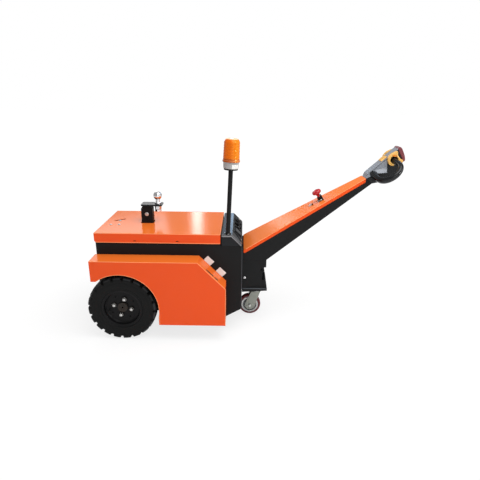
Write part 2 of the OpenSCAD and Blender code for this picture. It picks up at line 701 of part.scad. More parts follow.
// A point of the handle head, as [along, up], in the vehicle's X and Z plane
function head_point(p) = [head_x + p[0] * cos(head_deg) - p[1] * sin(head_deg),
                          head_z + p[0] * sin(head_deg) + p[1] * cos(head_deg)];

shell_gap = 0.05;                           // between the head's shell and the neck under it
// Black underside of the head, which carries it on the arm's end face
module handle_neck() color(black) placed() across(-head_hw + 4, head_hw - 4) polygon(concat(
    [arm_high],
    [for (p = concat([[-4, -17.5]], wing, [belly_seat[0]])) head_point(p - [0, shell_gap])],
    [for (p = [belly_seat[1], belly_seat[2], belly_seat[3], [170, -98], [125, -106], [80, -100],
        [40, -84], [9, -66]]) head_point(p)],
    [arm_low]));

module handle_head() color(grey) placed() on_head() {
    across(-head_hw, head_hw)
        polygon(concat([[-4, -17.5]], wing, [belly_seat[0], [head_len, 0], [22, 0], [-4, -15]]));
    for (side = [0, 1]) mirror([0, side, 0]) hull() {
        across(head_hw - 4, head_hw) polygon([[64, -12], wing[4], wing[3], [66, -34]]);
        across(head_hw + 18, head_hw + 20) polygon([[64, -30], [101, -59], [103, -63], [66, -34]]);
    }
}

// Points of a loop grip's middle line from its upper root round to its lower root, as [along, sideways]
near_bend = 58;
far_bend = 72;
loop_u = 175;
rail_u = 115;
function arc_points(middle, r, from, to, steps) =
    [for (k = [0:steps]) let (a = from + (to - from) * k / steps)
        [middle[0] + r * cos(a), middle[1] + r * sin(a)]];
function loop_line(reach) = concat(
    [[loop_u, -20], [loop_u, (reach - near_bend) / 2]],
    arc_points([loop_u - near_bend, reach - near_bend], near_bend, 0, 90, 6),
    arc_points([rail_u, reach - far_bend], far_bend, 90, 180, 8),
    [[rail_u - far_bend, (reach - far_bend) / 2], [rail_u - far_bend, -20]]);

// A tube of oval section along a line in a plane. The half widths in the plane and out of it are
// given at the line's start and end, and grow mostly towards the end
module oval_tube(line, half_w, half_h) {
    sides = 16;
    n = len(line);
    function way(k) = let (d = line[min(k + 1, n - 1)] - line[max(k - 1, 0)]) d / norm(d);
    function grown(pair, k) = pair[0] + (pair[1] - pair[0]) * pow(k / (n - 1), 2);
    points = [for (k = [0:n - 1], i = [0:sides - 1])
        let (d = way(k), a = i * 360 / sides, w = grown(half_w, k) * cos(a))
        [line[k][0] - d[1] * w, line[k][1] + d[0] * w, grown(half_h, k) * sin(a)]];
    faces = concat(
        [[for (i = [0:sides - 1]) i]],
        [for (k = [0:n - 2], i = [0:sides - 1]) let (j = (i + 1) % sides)
            [k * sides + j, k * sides + i, (k + 1) * sides + i, (k + 1) * sides + j]],
        [[for (i = [sides - 1:-1:0]) (n - 1) * sides + i]]);
    polyhedron(points, faces);
}

module loop_grip(side) color(black) placed() on_head() difference() {
    translate([0, side * head_hw, root_v]) rotate([-side * loop_droop, 0, 0])
        mirror([0, side > 0 ? 0 : 1, 0])
            oval_tube(loop_line(loop_reach - head_hw), [grip_r - 1, grip_r + 2], [grip_r - 1, grip_r + 9]);
    translate([-60, -head_hw, -120]) cube([head_len + 90, 2 * head_hw, 160]);
}
module loop_left() loop_grip(1);
module loop_right() loop_grip(-1);

throttle_w = 20;
// Butterfly throttle around the upper root of a loop grip, which droops through it
module throttle(side) color(yellow) placed() on_head() {
    droop = throttle_w / 2 * tan(loop_droop);
    hole = grip_r / cos(loop_droop) + droop + 1;
    y0 = side > 0 ? head_hw : -head_hw - throttle_w;
    across(y0, y0 + throttle_w) translate([loop_u, root_v - droop]) difference() {
        polygon([[43, 25], [36, 31], [13, 37], [-6, 37], [-20, 31], [-32, 16], [-37, -3], [-30, -18],
                 [-19, -25], [-16, -19], [-3, -4], [9, -16], [13, -32], [19, -44], [31, -40], [36, -31],
                 [30, -20], [29, -3], [31, 10]]);
        circle(hole);
    }
}
module throttle_left() throttle(1);
module throttle_right() throttle(-1);

module belly_button() color([0.42, 0.1, 0.12]) placed() on_head()
    across(-head_hw, head_hw) polygon(concat(belly_seat, belly_face));

module horn_button() color(yellow) placed() on_head() hull() {
    translate([120, -24, 0]) cube([40, 48, 2]);
    translate([124, -20, 0]) cube([32, 40, 6]);
}

chassis();
lid();
fender_left();
fender_right();
console();
console_panel();
side_plates();
beacon_post();
beacon_base();
beacon_lens();
hitch_post();
hitch_plate();
hitch_pin();
tow_ball();
ball_nut();
battery_pack();
axle_housing();
drive_motor();
tyre_left();
rim_left();
hub_left();
tyre_right();
rim_right();
hub_right();
tiller_base();
tiller_arm();
arm_cover();
caster_mount();
caster_plate();
caster_fork();
caster_axle();
caster_core();
caster_tread();
stop_bracket();
stop_knob();
key_switch();
handle_neck();
handle_head();
loop_left();
loop_right();
throttle_left();
throttle_right();
belly_button();
horn_button();
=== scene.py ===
import bpy
import bmesh
from math import sin, cos, tan, radians, pi
from mathutils import Matrix, Vector


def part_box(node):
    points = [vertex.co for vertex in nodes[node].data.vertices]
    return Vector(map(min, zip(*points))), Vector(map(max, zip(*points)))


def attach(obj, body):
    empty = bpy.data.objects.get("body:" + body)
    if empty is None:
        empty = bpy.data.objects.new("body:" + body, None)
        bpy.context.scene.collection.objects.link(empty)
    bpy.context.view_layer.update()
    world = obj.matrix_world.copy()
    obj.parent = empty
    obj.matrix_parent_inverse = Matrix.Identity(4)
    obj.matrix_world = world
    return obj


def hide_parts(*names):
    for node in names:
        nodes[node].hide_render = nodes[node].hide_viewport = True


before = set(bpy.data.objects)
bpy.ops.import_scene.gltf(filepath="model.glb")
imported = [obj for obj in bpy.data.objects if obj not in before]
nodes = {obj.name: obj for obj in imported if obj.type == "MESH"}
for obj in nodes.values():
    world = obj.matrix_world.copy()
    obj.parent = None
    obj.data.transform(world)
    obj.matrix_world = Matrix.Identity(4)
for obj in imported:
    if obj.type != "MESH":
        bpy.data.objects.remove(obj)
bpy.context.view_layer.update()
scene = bpy.context.scene
print("frame loaded:", len(nodes), "nodes")

# Forms and places are in millimetres, from the drive axle's line and the floor
axle = (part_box("rim_right")[0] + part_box("rim_right")[1]) / 2  # middle of the near drive wheel
wheelMiddle = 280  # from the middle plane to a drive wheel's middle
axleHeight = 190
sides = {"right": -1, "left": 1}


def mm(x, y, z):  # to the frame's metres
    return Vector((x / 1000 + axle.x, y / 1000, z / 1000))


def placeAt(spot, along, out):  # a piece's own frame: its X goes along, its Z out of the surface
    outward = Vector(out).normalized()
    onward = Vector(along)
    onward = (onward - outward * onward.dot(outward)).normalized()
    turn = Matrix((onward, outward.cross(onward), outward)).transposed().to_4x4()
    turn.translation = mm(*spot)
    return turn


def standing(x, y, z):
    return placeAt((x, y, z), (1, 0, 0), (0, 0, 1))


def sideways(x, y, z, side):  # facing away from the middle plane
    return placeAt((x, side * y, z), (1, 0, 0), (0, side, 0))


def raised(place, height):
    return place @ Matrix.Translation((0, 0, height / 1000))


# Shader helpers
class Wire:  # a socket that Python's operators work on
    def __init__(self, finish, socket):
        self.finish, self.socket = finish, socket

    def maths(self, operation, *values):
        return self.finish.node("Math", {"operation": operation}, values)

    def __add__(self, other):
        return self.maths("ADD", self, other)

    def __sub__(self, other):
        return self.maths("SUBTRACT", self, other)

    def __rsub__(self, other):
        return self.maths("SUBTRACT", other, self)

    def __mul__(self, other):
        return self.maths("MULTIPLY", self, other)

    __radd__ = __add__
    __rmul__ = __mul__

    def clamp(self):
        return self.finish.node("Clamp", {}, {"Value": self})


class Finish:  # the nodes of one material or world
    def __init__(self, owner):
        self.owner = owner
        owner.use_nodes = True
        self.tree = owner.node_tree
        self.tree.nodes.clear()

    def node(self, kind, settings, sockets, output=0):
        made = self.tree.nodes.new("ShaderNode" + kind)
        for key, value in settings.items():
            setattr(made, key, value)
        for key, value in (sockets.items() if isinstance(sockets, dict) else enumerate(sockets)):
            if isinstance(value, Wire):
                self.tree.links.new(value.socket, made.inputs[key])
            else:
                made.inputs[key].default_value = value
        if output is None:
            return made
        return Wire(self, made.outputs[output])

    def place(self):  # metres in the piece's own frame
        return self.node("TexCoord", {}, {}, "Object")

    def noise(self, scale, detail, roughness=0.5, vector=None):
        return self.node("TexNoise", {}, {"Vector": vector or self.place(), "Scale": scale,
                                          "Detail": detail, "Roughness": roughness})

    def stretched(self, scale):  # the place, squeezed along the axes
        return self.node("Mapping", {}, {"Vector": self.place(), "Scale": scale})

    def axisOf(self, vector, axis):
        return self.node("SeparateXYZ", {}, {"Vector": vector}, axis)

    def lengthOf(self, vector):
        return self.node("VectorMath", {"operation": "LENGTH"}, (vector,), "Value")

    def between(self, span, value):  # 0 at the span's start, 1 at its end
        return self.node("MapRange", {"interpolation_type": "SMOOTHSTEP"},
                         {"Value": value, "From Min": span[0], "From Max": span[1]})

    def mix(self, first, second, share):  # of two colours
        colours = {"Factor": share}
        for key, value in ((6, first), (7, second)):
            colours[key] = value if isinstance(value, Wire) else (*value, 1)
        return self.node("Mix", {"data_type": "RGBA"}, colours, 2)

    def done(self, look, colour, rough, height=None, **more):
        sockets = {"Base Color": colour, "Roughness": rough, "Specular IOR Level": look["specular"]}
        if height:
            depth = look["depth"] / 1000000
            sockets["Normal"] = self.node("Bump", {}, {"Height": height, "Distance": depth})
        for key, value in more.items():
            sockets[key.replace("_", " ")] = value
        self.output("Material", self.node("BsdfPrincipled", {}, sockets))
        return self.owner

    def output(self, kind, surface):
        self.node("Output" + kind, {}, {"Surface": surface}, None)


def newFinish(name):
    return Finish(bpy.data.materials.new(name))


def paint(name, look):  # powder coat: orange peel, cloudiness, fine rubs and a little dust, with painted light on upward faces where the look gives it
    f = newFinish(name)
    cloud = f.noise(*look["cloud"])
    peel = f.noise(look["grain"], 2)
    specks = f.between(look["speckSpan"], f.noise(*look["specks"]))
    rubs = f.between(look["rubSpan"], f.noise(*look["rubs"], f.stretched(look["rubStretch"])))
    colour = f.mix(look["colour"], look["shade"], cloud * look["cloudShare"])
    if "faded" in look:  # painted light: upward faces are lighter, as if lit from above
        facing = f.axisOf(f.node("TexCoord", {}, {}, "Normal"), "Z")
        colour = f.mix(colour, look["faded"], f.between(look["paintedTopLightSpan"], facing))
    colour = f.mix(colour, look["dust"], specks * look["dustShare"])
    colour = f.mix(colour, look["dust"], rubs * look["rubShare"])
    rough = look["rough"] + (cloud - 0.5) * look["cloudRough"] + rubs * look["rubRough"]
    return f.done(look, colour, rough, peel)


def plastic(name, look):  # moulded plastic with a spark-eroded grain
    f = newFinish(name)
    grain = f.noise(look["grain"], 4, 0.65)
    cloud = f.noise(*look["cloud"])
    handled = f.between(look["handledSpan"], f.noise(*look["handled"]))
    colour = f.mix(look["colour"], look["shade"], cloud * look["cloudShare"])
    colour = f.mix(colour, look["shade"], handled * look["handledShare"])
    rough = look["rough"] + (grain - 0.5) * look["grainRough"] - handled * look["handledRough"]
    return f.done(look, colour, rough, grain)


def metal(name, look):  # bare or plated metal with fine scratches and stains
    f = newFinish(name)
    scratches = f.noise(*look["scratches"], f.stretched(look["brush"]))
    stain = f.between(look["stainSpan"], f.noise(look["stainScale"], 4, 0.6))
    wearAndHighlight = look["stainShare"]
    colour = f.mix(look["colour"], look["stain"], stain * wearAndHighlight)
    rough = look["rough"] + (scratches - 0.5) * look["scratchRough"] + stain * wearAndHighlight * look["stainRough"]
    return f.done(look, colour, rough, scratches, Metallic=look["metallic"] - stain * wearAndHighlight * look["dull"])


def rubber(name, look):  # tyre rubber: fine grain, dust in the hollows, scuffed tread, and a lighter band of painted highlight on the shoulder
    f = newFinish(name)
    grain = f.noise(look["grain"], 3)
    dust = f.between(look["dustSpan"], f.noise(*look["dusting"]))
    scuff = f.between(look["scuffSpan"], f.noise(*look["scuffs"]))
    colour = f.mix(look["colour"], look["dust"], dust * look["dustShare"] + scuff * look["scuffShare"])
    # a lighter band on the shoulder, patchy: painted highlight
    radius = f.lengthOf(f.stretched((1, 1, 0)))
    shoulder = f.between(look["highlightFrom"], radius) * (1 - f.between(look["highlightTo"], radius))
    patchy = f.between(look["patchSpan"], f.noise(*look["patches"])) * look["patchShare"]
    colour = f.mix(colour, look["wearAndHighlight"], shoulder * (look["highlightShare"] + patchy))
    rough = look["rough"] + dust * look["dustRough"] + scuff * look["scuffRough"]
    return f.done(look, colour, rough, grain)


def amber(name, look):  # lens plastic: painted light, brighter on the side where the light falls through, painted shade towards the other edge, darker at the foot and less so on the lit side, a pale painted highlight on top and a faint painted glow
    f = newFinish(name)
    place = f.place()
    across, height = f.axisOf(place, "X"), f.axisOf(place, "Z")
    cloud = f.noise(*look["cloud"])
    bright = f.between(look["litSideSpan"], across)
    edge = f.between(look["shadedEdgeSpan"], across)
    ring = 1 - f.between(look["ringSpan"], height)
    colour = f.mix(look["colour"], look["bright"], bright)
    colour = f.mix(colour, look["deep"], cloud * look["cloudShare"] + edge * look["shadedEdgeShare"])
    colour = f.mix(colour, look["ring"], ring * (1 - bright * look["ringClear"]))
    colour = f.mix(colour, look["topHighlight"], f.between(look["topHighlightSpan"], height))
    return f.done(look, colour, look["rough"] + cloud * look["cloudRough"], IOR=look["ior"],
                  Specular_Tint=(*look["tint"], 1), Emission_Color=colour, Emission_Strength=look["paintedGlow"])


# What one kind of finish shares, then a row for each finish with the columns that are named first.
# Noises are scale, detail and roughness; depths of bumps are in micrometres
paintBase = dict(
    columns="colour shade dust dustShare rubShare rough specular grain depth faded".split(),
    cloud=(3.5, 2), cloudShare=0.7, cloudRough=0.06, specks=(55, 4, 0.7), speckSpan=(0.64, 0.8),
    rubs=(9, 4, 0.75), rubSpan=(0.6, 0.72), rubStretch=(1, 1, 7), rubRough=0.05, paintedTopLightSpan=(0.45, 0.85))
# the last colour, where a row gives it, is painted light on upward faces
paintLooks = {
    "orangeCoat": ((0.8, 0.084, 0.0135), (0.75, 0.076, 0.012), (0.82, 0.2, 0.08),
        0.04, 0.03, 0.15, 0.16, 420, 12, (0.84, 0.175, 0.024)),
    # dark orange for the inside of the hand pull: painted shade
    "paintedShadeOrange": ((0.22, 0.012, 0.005), (0.16, 0.009, 0.004), (0.5, 0.1, 0.05),
        0.04, 0.02, 0.4, 0.15, 420, 15),
    # lighter copies of the paints for bends and bevels: painted highlights
    "bendHighlightOrange": ((0.95, 0.32, 0.12), (0.88, 0.2, 0.06), (0.9, 0.4, 0.2),
        0.1, 0.1, 0.3, 0.3, 420, 10),
    # the arm cover's copy of the orange, with stronger painted light on upward faces
    "coverCoat": ((0.8, 0.084, 0.0135), (0.75, 0.076, 0.012), (0.86, 0.3, 0.14),
        0.05, 0.06, 0.2, 0.06, 420, 10, (0.9, 0.215, 0.04)),
    # lighter grey and black for bends and bevels: painted highlights
    "bendHighlightGrey": ((0.13, 0.124, 0.13), (0.1, 0.098, 0.104), (0.2, 0.19, 0.19),
        0.2, 0.2, 0.3, 0.4, 420, 10),
    "bendHighlightBlack": ((0.05, 0.058, 0.068), (0.035, 0.04, 0.047), (0.1, 0.11, 0.12),
        0.2, 0.2, 0.35, 0.3, 420, 10),
    "blackCoat": ((0.0098, 0.01, 0.0103), (0.0125, 0.0125, 0.013), (0.05, 0.05, 0.048),
        0.06, 0.04, 0.42, 0.1, 500, 24),
    "glossBlack": ((0.0062, 0.0072, 0.009), (0.008, 0.0092, 0.0112), (0.05, 0.055, 0.06),
        0.05, 0.05, 0.18, 0.22, 350, 12),
    "wheelBlack": ((0.006, 0.006, 0.0064), (0.008, 0.008, 0.0085), (0.05, 0.045, 0.04),
        0.08, 0.04, 0.3, 0.12, 500, 18),
    "plateWhite": ((0.78, 0.77, 0.74), (0.7, 0.69, 0.66), (0.5, 0.48, 0.43),
        0.15, 0.08, 0.35, 0.3, 600, 6),
}
plasticBase = dict(
    columns="colour shade rough specular grain depth".split(),
    cloud=(12, 2), cloudShare=0.8, handled=(30, 4, 0.6), handledSpan=(0.5, 0.75), handledShare=0.4,
    handledRough=0.05, grainRough=0.1)
plasticLooks = {
    "panelPlastic": ((0.01, 0.0105, 0.0115), (0.015, 0.016, 0.0175), 0.4, 0.12, 900, 18),
    "displayGlass": ((0.008, 0.01, 0.012), (0.012, 0.014, 0.017), 0.08, 0.5, 60, 0.6),
    "beaconGrey": ((0.36, 0.34, 0.335), (0.41, 0.39, 0.385), 0.36, 0.35, 700, 12),
    "knobRed": ((0.46, 0.012, 0.02), (0.4, 0.009, 0.015), 0.22, 0.5, 600, 6),
    "handleGrey": ((0.235, 0.255, 0.29), (0.26, 0.28, 0.315), 0.34, 0.4, 300, 24),
    "gripBlack": ((0.0055, 0.006, 0.007), (0.0075, 0.0082, 0.0092), 0.22, 0.34, 300, 18),
    "throttleYellow": ((0.8, 0.46, 0.12), (0.76, 0.4, 0.08), 0.28, 0.4, 700, 9),
    # darker orange for the throttles' hollows: painted shade
    "paintedShadeThrottle": ((0.72, 0.24, 0.02), (0.62, 0.18, 0.015), 0.35, 0.3, 700, 9),
    "bellyRed": ((0.15, 0.02, 0.026), (0.19, 0.03, 0.036), 0.26, 0.5, 600, 9),
    "treadRed": ((0.1, 0.006, 0.01), (0.13, 0.012, 0.016), 0.36, 0.3, 500, 24),
    "casterGrey": ((0.3, 0.31, 0.32), (0.24, 0.25, 0.26), 0.36, 0.4, 500, 24),
    "caseGrey": ((0.1, 0.1, 0.105), (0.13, 0.13, 0.135), 0.5, 0.3, 400, 60),
    "softBlack": ((0.01, 0.01, 0.01), (0.016, 0.016, 0.016), 0.7, 0.1, 800, 60),
}
metalBase = dict(
    columns="colour stain stainShare stainScale rough metallic specular depth brush".split(),
    scratches=(90, 5, 0.7), scratchRough=0.2, stainSpan=(0.45, 0.75), stainRough=0.2, dull=0.4,
    brush=(1, 1, 1))
metalLooks = {
    "chrome": ((0.8, 0.79, 0.8), (0.5, 0.42, 0.38), 0.1, 25, 0.12, 1.0, 0.5, 3),
    "zinc": ((0.62, 0.62, 0.61), (0.42, 0.4, 0.36), 0.3, 40, 0.42, 0.8, 0.5, 9, (1, 1, 4)),
    "greenZinc": ((0.3, 0.315, 0.28), (0.23, 0.24, 0.19), 0.35, 35, 0.42, 0.55, 0.3, 15, (1, 1, 3)),
    "hubSteel": ((0.03, 0.026, 0.022), (0.05, 0.026, 0.014), 0.5, 60, 0.5, 0.4, 0.25, 30),
    "castIron": ((0.16, 0.16, 0.16), (0.1, 0.07, 0.045), 0.4, 20, 0.55, 0.5, 0.3, 90),
}
rubberLook = dict(
    colour=(0.0058, 0.006, 0.006), dust=(0.016, 0.015, 0.0135), dustShare=0.2, dusting=(16, 4, 0.6),
    dustSpan=(0.5, 0.75), dustRough=0.1, scuffs=(120, 5, 0.7), scuffSpan=(0.55, 0.8), scuffShare=0.06,
    scuffRough=0.08, wearAndHighlight=(0.045, 0.047, 0.05), highlightFrom=(0.1765, 0.181), highlightTo=(0.1875, 0.1895),
    highlightShare=0.25, patches=(9, 2), patchSpan=(0.4, 0.7), patchShare=0.6, rough=0.5, specular=0.12,
    grain=700, depth=36)
# the lens's painted light: a lit side, a shaded edge, a pale top highlight and a glow
lensLook = dict(
    colour=(0.6, 0.105, 0.003), bright=(0.72, 0.2, 0.005), deep=(0.42, 0.07, 0.003),
    ring=(0.3, 0.05, 0.004), topHighlight=(0.9, 0.68, 0.42), tint=(1.0, 0.8, 0.3), litSideSpan=(-0.014, 0.036),
    shadedEdgeSpan=(-0.028, -0.042), shadedEdgeShare=0.3, ringSpan=(0.0074, 0.0092), ringClear=0.6,
    topHighlightSpan=(0.1045, 0.1068), cloud=(30, 2), cloudShare=0.15, cloudRough=0.03, rough=0.1, specular=0.5,
    ior=1.49, paintedGlow=0.16)


def finishRows(maker, base, rows):
    return {name: maker(name, {**base, **dict(zip(base["columns"], row))}) for name, row in rows.items()}


finishes = {**finishRows(paint, paintBase, paintLooks), **finishRows(plastic, plasticBase, plasticLooks),
            **finishRows(metal, metalBase, metalLooks)}
finishes["tyreRubber"] = rubber("tyreRubber", rubberLook)
finishes["amberLens"] = amber("amberLens", lensLook)
print("finishes made:", len(finishes))

# CAD pieces by their finish and edge radius
dressing = {
    ("blackCoat", 1.5): "chassis drive_motor tiller_arm",
    ("orangeCoat", 2.2): "lid",
    ("orangeCoat", 1.6): "fender_left fender_right",
    ("glossBlack", 1.6): "console",
    ("panelPlastic", 0.6): "console_panel",
    ("plateWhite", 0.4): "side_plates",
    ("blackCoat", 0.6): "beacon_post stop_bracket",
    ("beaconGrey", 0.6): "beacon_base",
    ("amberLens", 0): "beacon_lens",
    ("blackCoat", 1.2): "hitch_post tiller_base caster_mount",
    ("glossBlack", 1.5): "hitch_plate",
    ("zinc", 0.6): "hitch_pin caster_axle",
    ("chrome", 0.6): "tow_ball",
    ("chrome", 0.8): "ball_nut",
    ("caseGrey", 3): "battery_pack",
    ("castIron", 1.5): "axle_housing",
    ("tyreRubber", 0): "tyre_left tyre_right",
    ("wheelBlack", 0.5): "rim_left rim_right",
    ("hubSteel", 0.6): "hub_left hub_right",
    ("coverCoat", 1.6): "arm_cover",
    ("greenZinc", 0.8): "caster_plate caster_fork",
    ("casterGrey", 0.6): "caster_core",
    ("treadRed", 0.8): "caster_tread",
    ("knobRed", 0.5): "stop_knob",
    ("zinc", 0.5): "key_switch",
    ("gripBlack", 2): "handle_neck",
    ("handleGrey", 2.5): "handle_head",
    ("gripBlack", 0): "loop_left loop_right",
    ("throttleYellow", 1.2): "throttle_left throttle_right",
    ("bellyRed", 2): "belly_button",
    ("throttleYellow", 0.8): "horn_button",
}
edgeLook = dict(smoothBelow=28, bevelFrom=35, join=0.00001, weld=0.000002)  # degrees, then metres


def makeJoinAndShade(look):  # joins the split edges of a CAD mesh and shades it smooth up to a sharp angle
    group = bpy.data.node_groups.new("joinAndShade", "GeometryNodeTree")
    group.interface.new_socket("Geometry", in_out="INPUT", socket_type="NodeSocketGeometry")
    group.interface.new_socket("Geometry", in_out="OUTPUT", socket_type="NodeSocketGeometry")
    add = group.nodes.new
    start, end = add("NodeGroupInput"), add("NodeGroupOutput")
    merge, bare = add("GeometryNodeMergeByDistance"), add("GeometryNodeSetMeshNormal")
    smooth, sharp = add("GeometryNodeSetShadeSmooth"), add("GeometryNodeSetShadeSmooth")
    angle, compare = add("GeometryNodeInputMeshEdgeAngle"), add("FunctionNodeCompare")
    compare.operation = "LESS_THAN"
    compare.inputs["B"].default_value = radians(look["smoothBelow"])
    merge.inputs["Distance"].default_value = look["join"]
    bare.inputs["Remove Custom"].default_value = True
    sharp.domain = "EDGE"
    links = ((start, merge, 0), (merge, bare, 0), (bare, smooth, 0), (smooth, sharp, 0),
             (angle, compare, "A"), (compare, sharp, "Shade Smooth"), (sharp, end, 0))
    for source, target, socket in links:
        group.links.new(source.outputs[0], target.inputs[socket])
    return group


def softenEdges(thing, radius, segments=2):
    bevel = thing.modifiers.new("edges", "BEVEL")
    bevel.width, bevel.segments = radius / 1000, segments
    bevel.limit_method, bevel.angle_limit = "ANGLE", radians(edgeLook["bevelFrom"])
    bevel.harden_normals = True


joinAndShade = makeJoinAndShade(edgeLook)
for (finish, edge), names in dressing.items():
    for name in names.split():
        node = nodes[name]
        node.data.materials.clear()
        node.data.materials.append(finishes[finish])
        node.modifiers.new("joinAndShade", "NODES").node_group = joinAndShade
        if edge:
            softenEdges(node, edge)
print("CAD pieces dressed")


class Form:  # points and the faces between them
    def __init__(self, points, faces):
        self.points, self.faces = [Vector(p) for p in points], [tuple(f) for f in faces]

    def __add__(self, other):
        shift = len(self.points)
        return Form(self.points + other.points,
                    self.faces + [tuple(i + shift for i in face) for face in other.faces])

    def moved(self, x=0, y=0, z=0):
        return Form([p + Vector((x, y, z)) for p in self.points], self.faces)

    def onItsSide(self, x, y, z, side):  # its Z goes away from the middle plane, its Y up
        return Form([(x + p.x, side * (y + p.z), z + p.y) for p in self.points], self.faces)


def every(forms):
    whole = Form([], [])
    for form in forms:
        whole = whole + form
    return whole


def polar(radius, turn):  # turn in degrees
    return radius * cos(radians(turn)), radius * sin(radians(turn))


def lofted(sections, closed=False):  # a skin over sections with the same number of points
    last, n = len(sections), len(sections[0])
    faces = []
    for k in range(last if closed else last - 1):
        low, high = k * n, (k + 1) % last * n
        faces += [(low + i, low + (i + 1) % n, high + (i + 1) % n, high + i) for i in range(n)]
    if not closed:
        faces += [list(range(n))[::-1], [(last - 1) * n + i for i in range(n)]]
    return Form([p for section in sections for p in section], faces)


def turned(profile, steps=40, closed=False):  # (radius, height) pairs revolved about Z
    points, rings, faces = [], [], []
    for radius, height in profile:
        if radius < 0.001:  # on the axis
            rings.append([len(points)] * steps)
            points.append((0, 0, height))
        else:
            rings.append([len(points) + k for k in range(steps)])
            points += [(radius * cos(2 * pi * k / steps), radius * sin(2 * pi * k / steps), height)
                       for k in range(steps)]
    pairs = list(zip(rings, rings[1:])) + ([(rings[-1], rings[0])] if closed else [])
    for low, high in pairs:
        for k in range(steps):
            j = (k + 1) % steps
            corners = list(dict.fromkeys((low[k], low[j], high[j], high[k])))
            if len(corners) > 2:
                faces.append(corners)
    return Form(points, faces)


def slab(outline, low, high):  # an outline in X and Y between two heights
    return lofted([[(x, y, z) for x, y in outline] for z in (low, high)])


def roundedOutline(length, width, corner, steps=4):
    outline = []
    for k, (sx, sy) in enumerate(((1, 1), (-1, 1), (-1, -1), (1, -1))):
        for i in range(steps + 1):
            x, y = polar(corner, k * 90 + i * 90 / steps)
            outline.append((sx * (length / 2 - corner) + x, sy * (width / 2 - corner) + y))
    return outline


def roundEnded(long, radius, steps=8):  # half circles about two points, long either side of the middle
    outline = []
    for end in (1, -1):
        for i in range(steps + 1):
            x, y = polar(radius, i * 180 / steps - end * 90)
            outline.append((end * long + x, y))
    return outline


def swept(line, wide, high, sides=8, upward=(0, 0, 1)):  # an oval tube along points, half sizes per point
    last = len(line) - 1
    sections = []
    for k, spot in enumerate(line):
        ahead = (line[min(k + 1, last)] - line[max(k - 1, 0)]).normalized()
        across = ahead.cross(Vector(upward))
        across = across.normalized() if across.length > 0.01 else Vector((1, 0, 0))
        up = across.cross(ahead)
        turns = [2 * pi * i / sides for i in range(sides)]
        sections.append([spot + across * cos(a) * wide[k] + up * sin(a) * high[k] for a in turns])
    return lofted(sections)


def beadAlong(corners, radius, sides=8):  # a thin round bead through corner points
    sizes = [radius] * len(corners)
    return swept([Vector(c) for c in corners], sizes, sizes, sides)


def screwHead(radius, rise, steps=24):  # a domed head with its foot sunk a little
    profile = ((0, -0.5), (1, -0.5), (1, 0), (1, rise * 0.3), (0.92, rise * 0.6), (0.7, rise * 0.88),
               (0.4, rise), (0, rise))
    return turned([(radius * share, height) for share, height in profile], steps)


def hexOutline(radius, turn):
    return [polar(radius, turn + k * 60) for k in range(6)]


def hexHead(radius, rise, turn, inner=0.86, top=0.8, bevel=0.3, fall=0.12):  # with a chamfered top face
    cap = [(0, 0), (radius * inner, 0), (radius * inner, rise - bevel), (radius * top, rise), (0, rise)]
    return slab(hexOutline(radius, turn), 0, rise - radius * fall) + turned(cap, 24)


def piece(name, form, finish, place, body="vehicle", edge=0, segments=2, sharp=32, replaces=()):
    mesh = bpy.data.meshes.new(name)
    mesh.from_pydata([p / 1000 for p in form.points], [], form.faces)
    work = bmesh.new()
    work.from_mesh(mesh)
    bmesh.ops.remove_doubles(work, verts=work.verts, dist=edgeLook["weld"])
    bmesh.ops.recalc_face_normals(work, faces=work.faces)
    work.to_mesh(mesh)
    work.free()
    mesh.shade_smooth()
    mesh.set_sharp_from_angle(angle=radians(sharp))
    mesh.materials.append(finishes[finish])
    made = bpy.data.objects.new(name, mesh)
    made.matrix_world = place
    scene.collection.objects.link(made)
    if edge:
        softenEdges(made, edge, segments)
    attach(made, body)
    if replaces:
        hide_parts(*replaces)


# Lid: three pan screws on washers, and the cup under the hand pull, painted dark orange as the recess's
# shade
lidLook = dict(
    top=600, screws=((-99, -72), (-52, -70), (-67, 10)), screwSize=(7, 3.2), seat=0.8, washer=((0, 0),
    (8.5, 0), (8.5, 0.7), (7, 0.9), (0, 0.9)), pull=(-72, 30), pullTurn=36, pullLength=56, cupTop=-3.2,
    cupFloor=-14, cupFoot=-16, cupOuter=9, cupInner=6.6)


def makeLidDetails(look):
    screw = turned(look["washer"]) + screwHead(*look["screwSize"]).moved(z=look["seat"])
    for k, (x, y) in enumerate(look["screws"]):
        piece("lidScrew_%d" % (k + 1), screw, "zinc", standing(x, y, look["top"]))
    outer, inner = (roundEnded(look["pullLength"] / 2, look[key]) for key in ("cupOuter", "cupInner"))
    levels = ((outer, look["cupTop"]), (outer, look["cupFoot"]), (inner, look["cupFloor"]),
              (inner, look["cupTop"]))
    points = [(x, y, z) for outline, z in levels for x, y in outline]
    n = len(outer)
    faces = [(k * n + i, k * n + (i + 1) % n, (k + 1) % 4 * n + (i + 1) % n, (k + 1) % 4 * n + i)
             for k in (0, 2, 3) for i in range(n)]
    faces += [list(range(n, 2 * n)), list(range(2 * n, 3 * n))]
    place = placeAt((*look["pull"], look["top"]), (*polar(1, look["pullTurn"]), 0), (0, 0, 1))
    # the cup is painted dark: painted shade of the recess
    piece("pullCup", Form(points, faces), "paintedShadeOrange", place)


# Hitch: finer ball with its neck, collar and shank, and the welds under the plate
hitchLook = dict(
    ball=(166, 0, 759), ballRadius=25, ballArc=(30, 172), ballSteps=24, neck=12.5, neckFoot=((2, 8),
    (0, 10)), neckTop=3, collar=19, collarSteps=((-1, 0), (0, 1), (0, 6), (-2, 8)), plateTop=712,
    shank=11, shankEnd=663, shankBevel=1.5, weld=(102, 0, 701), weldHalf=20.5, weldSide=23,
    weldRadius=2.2)


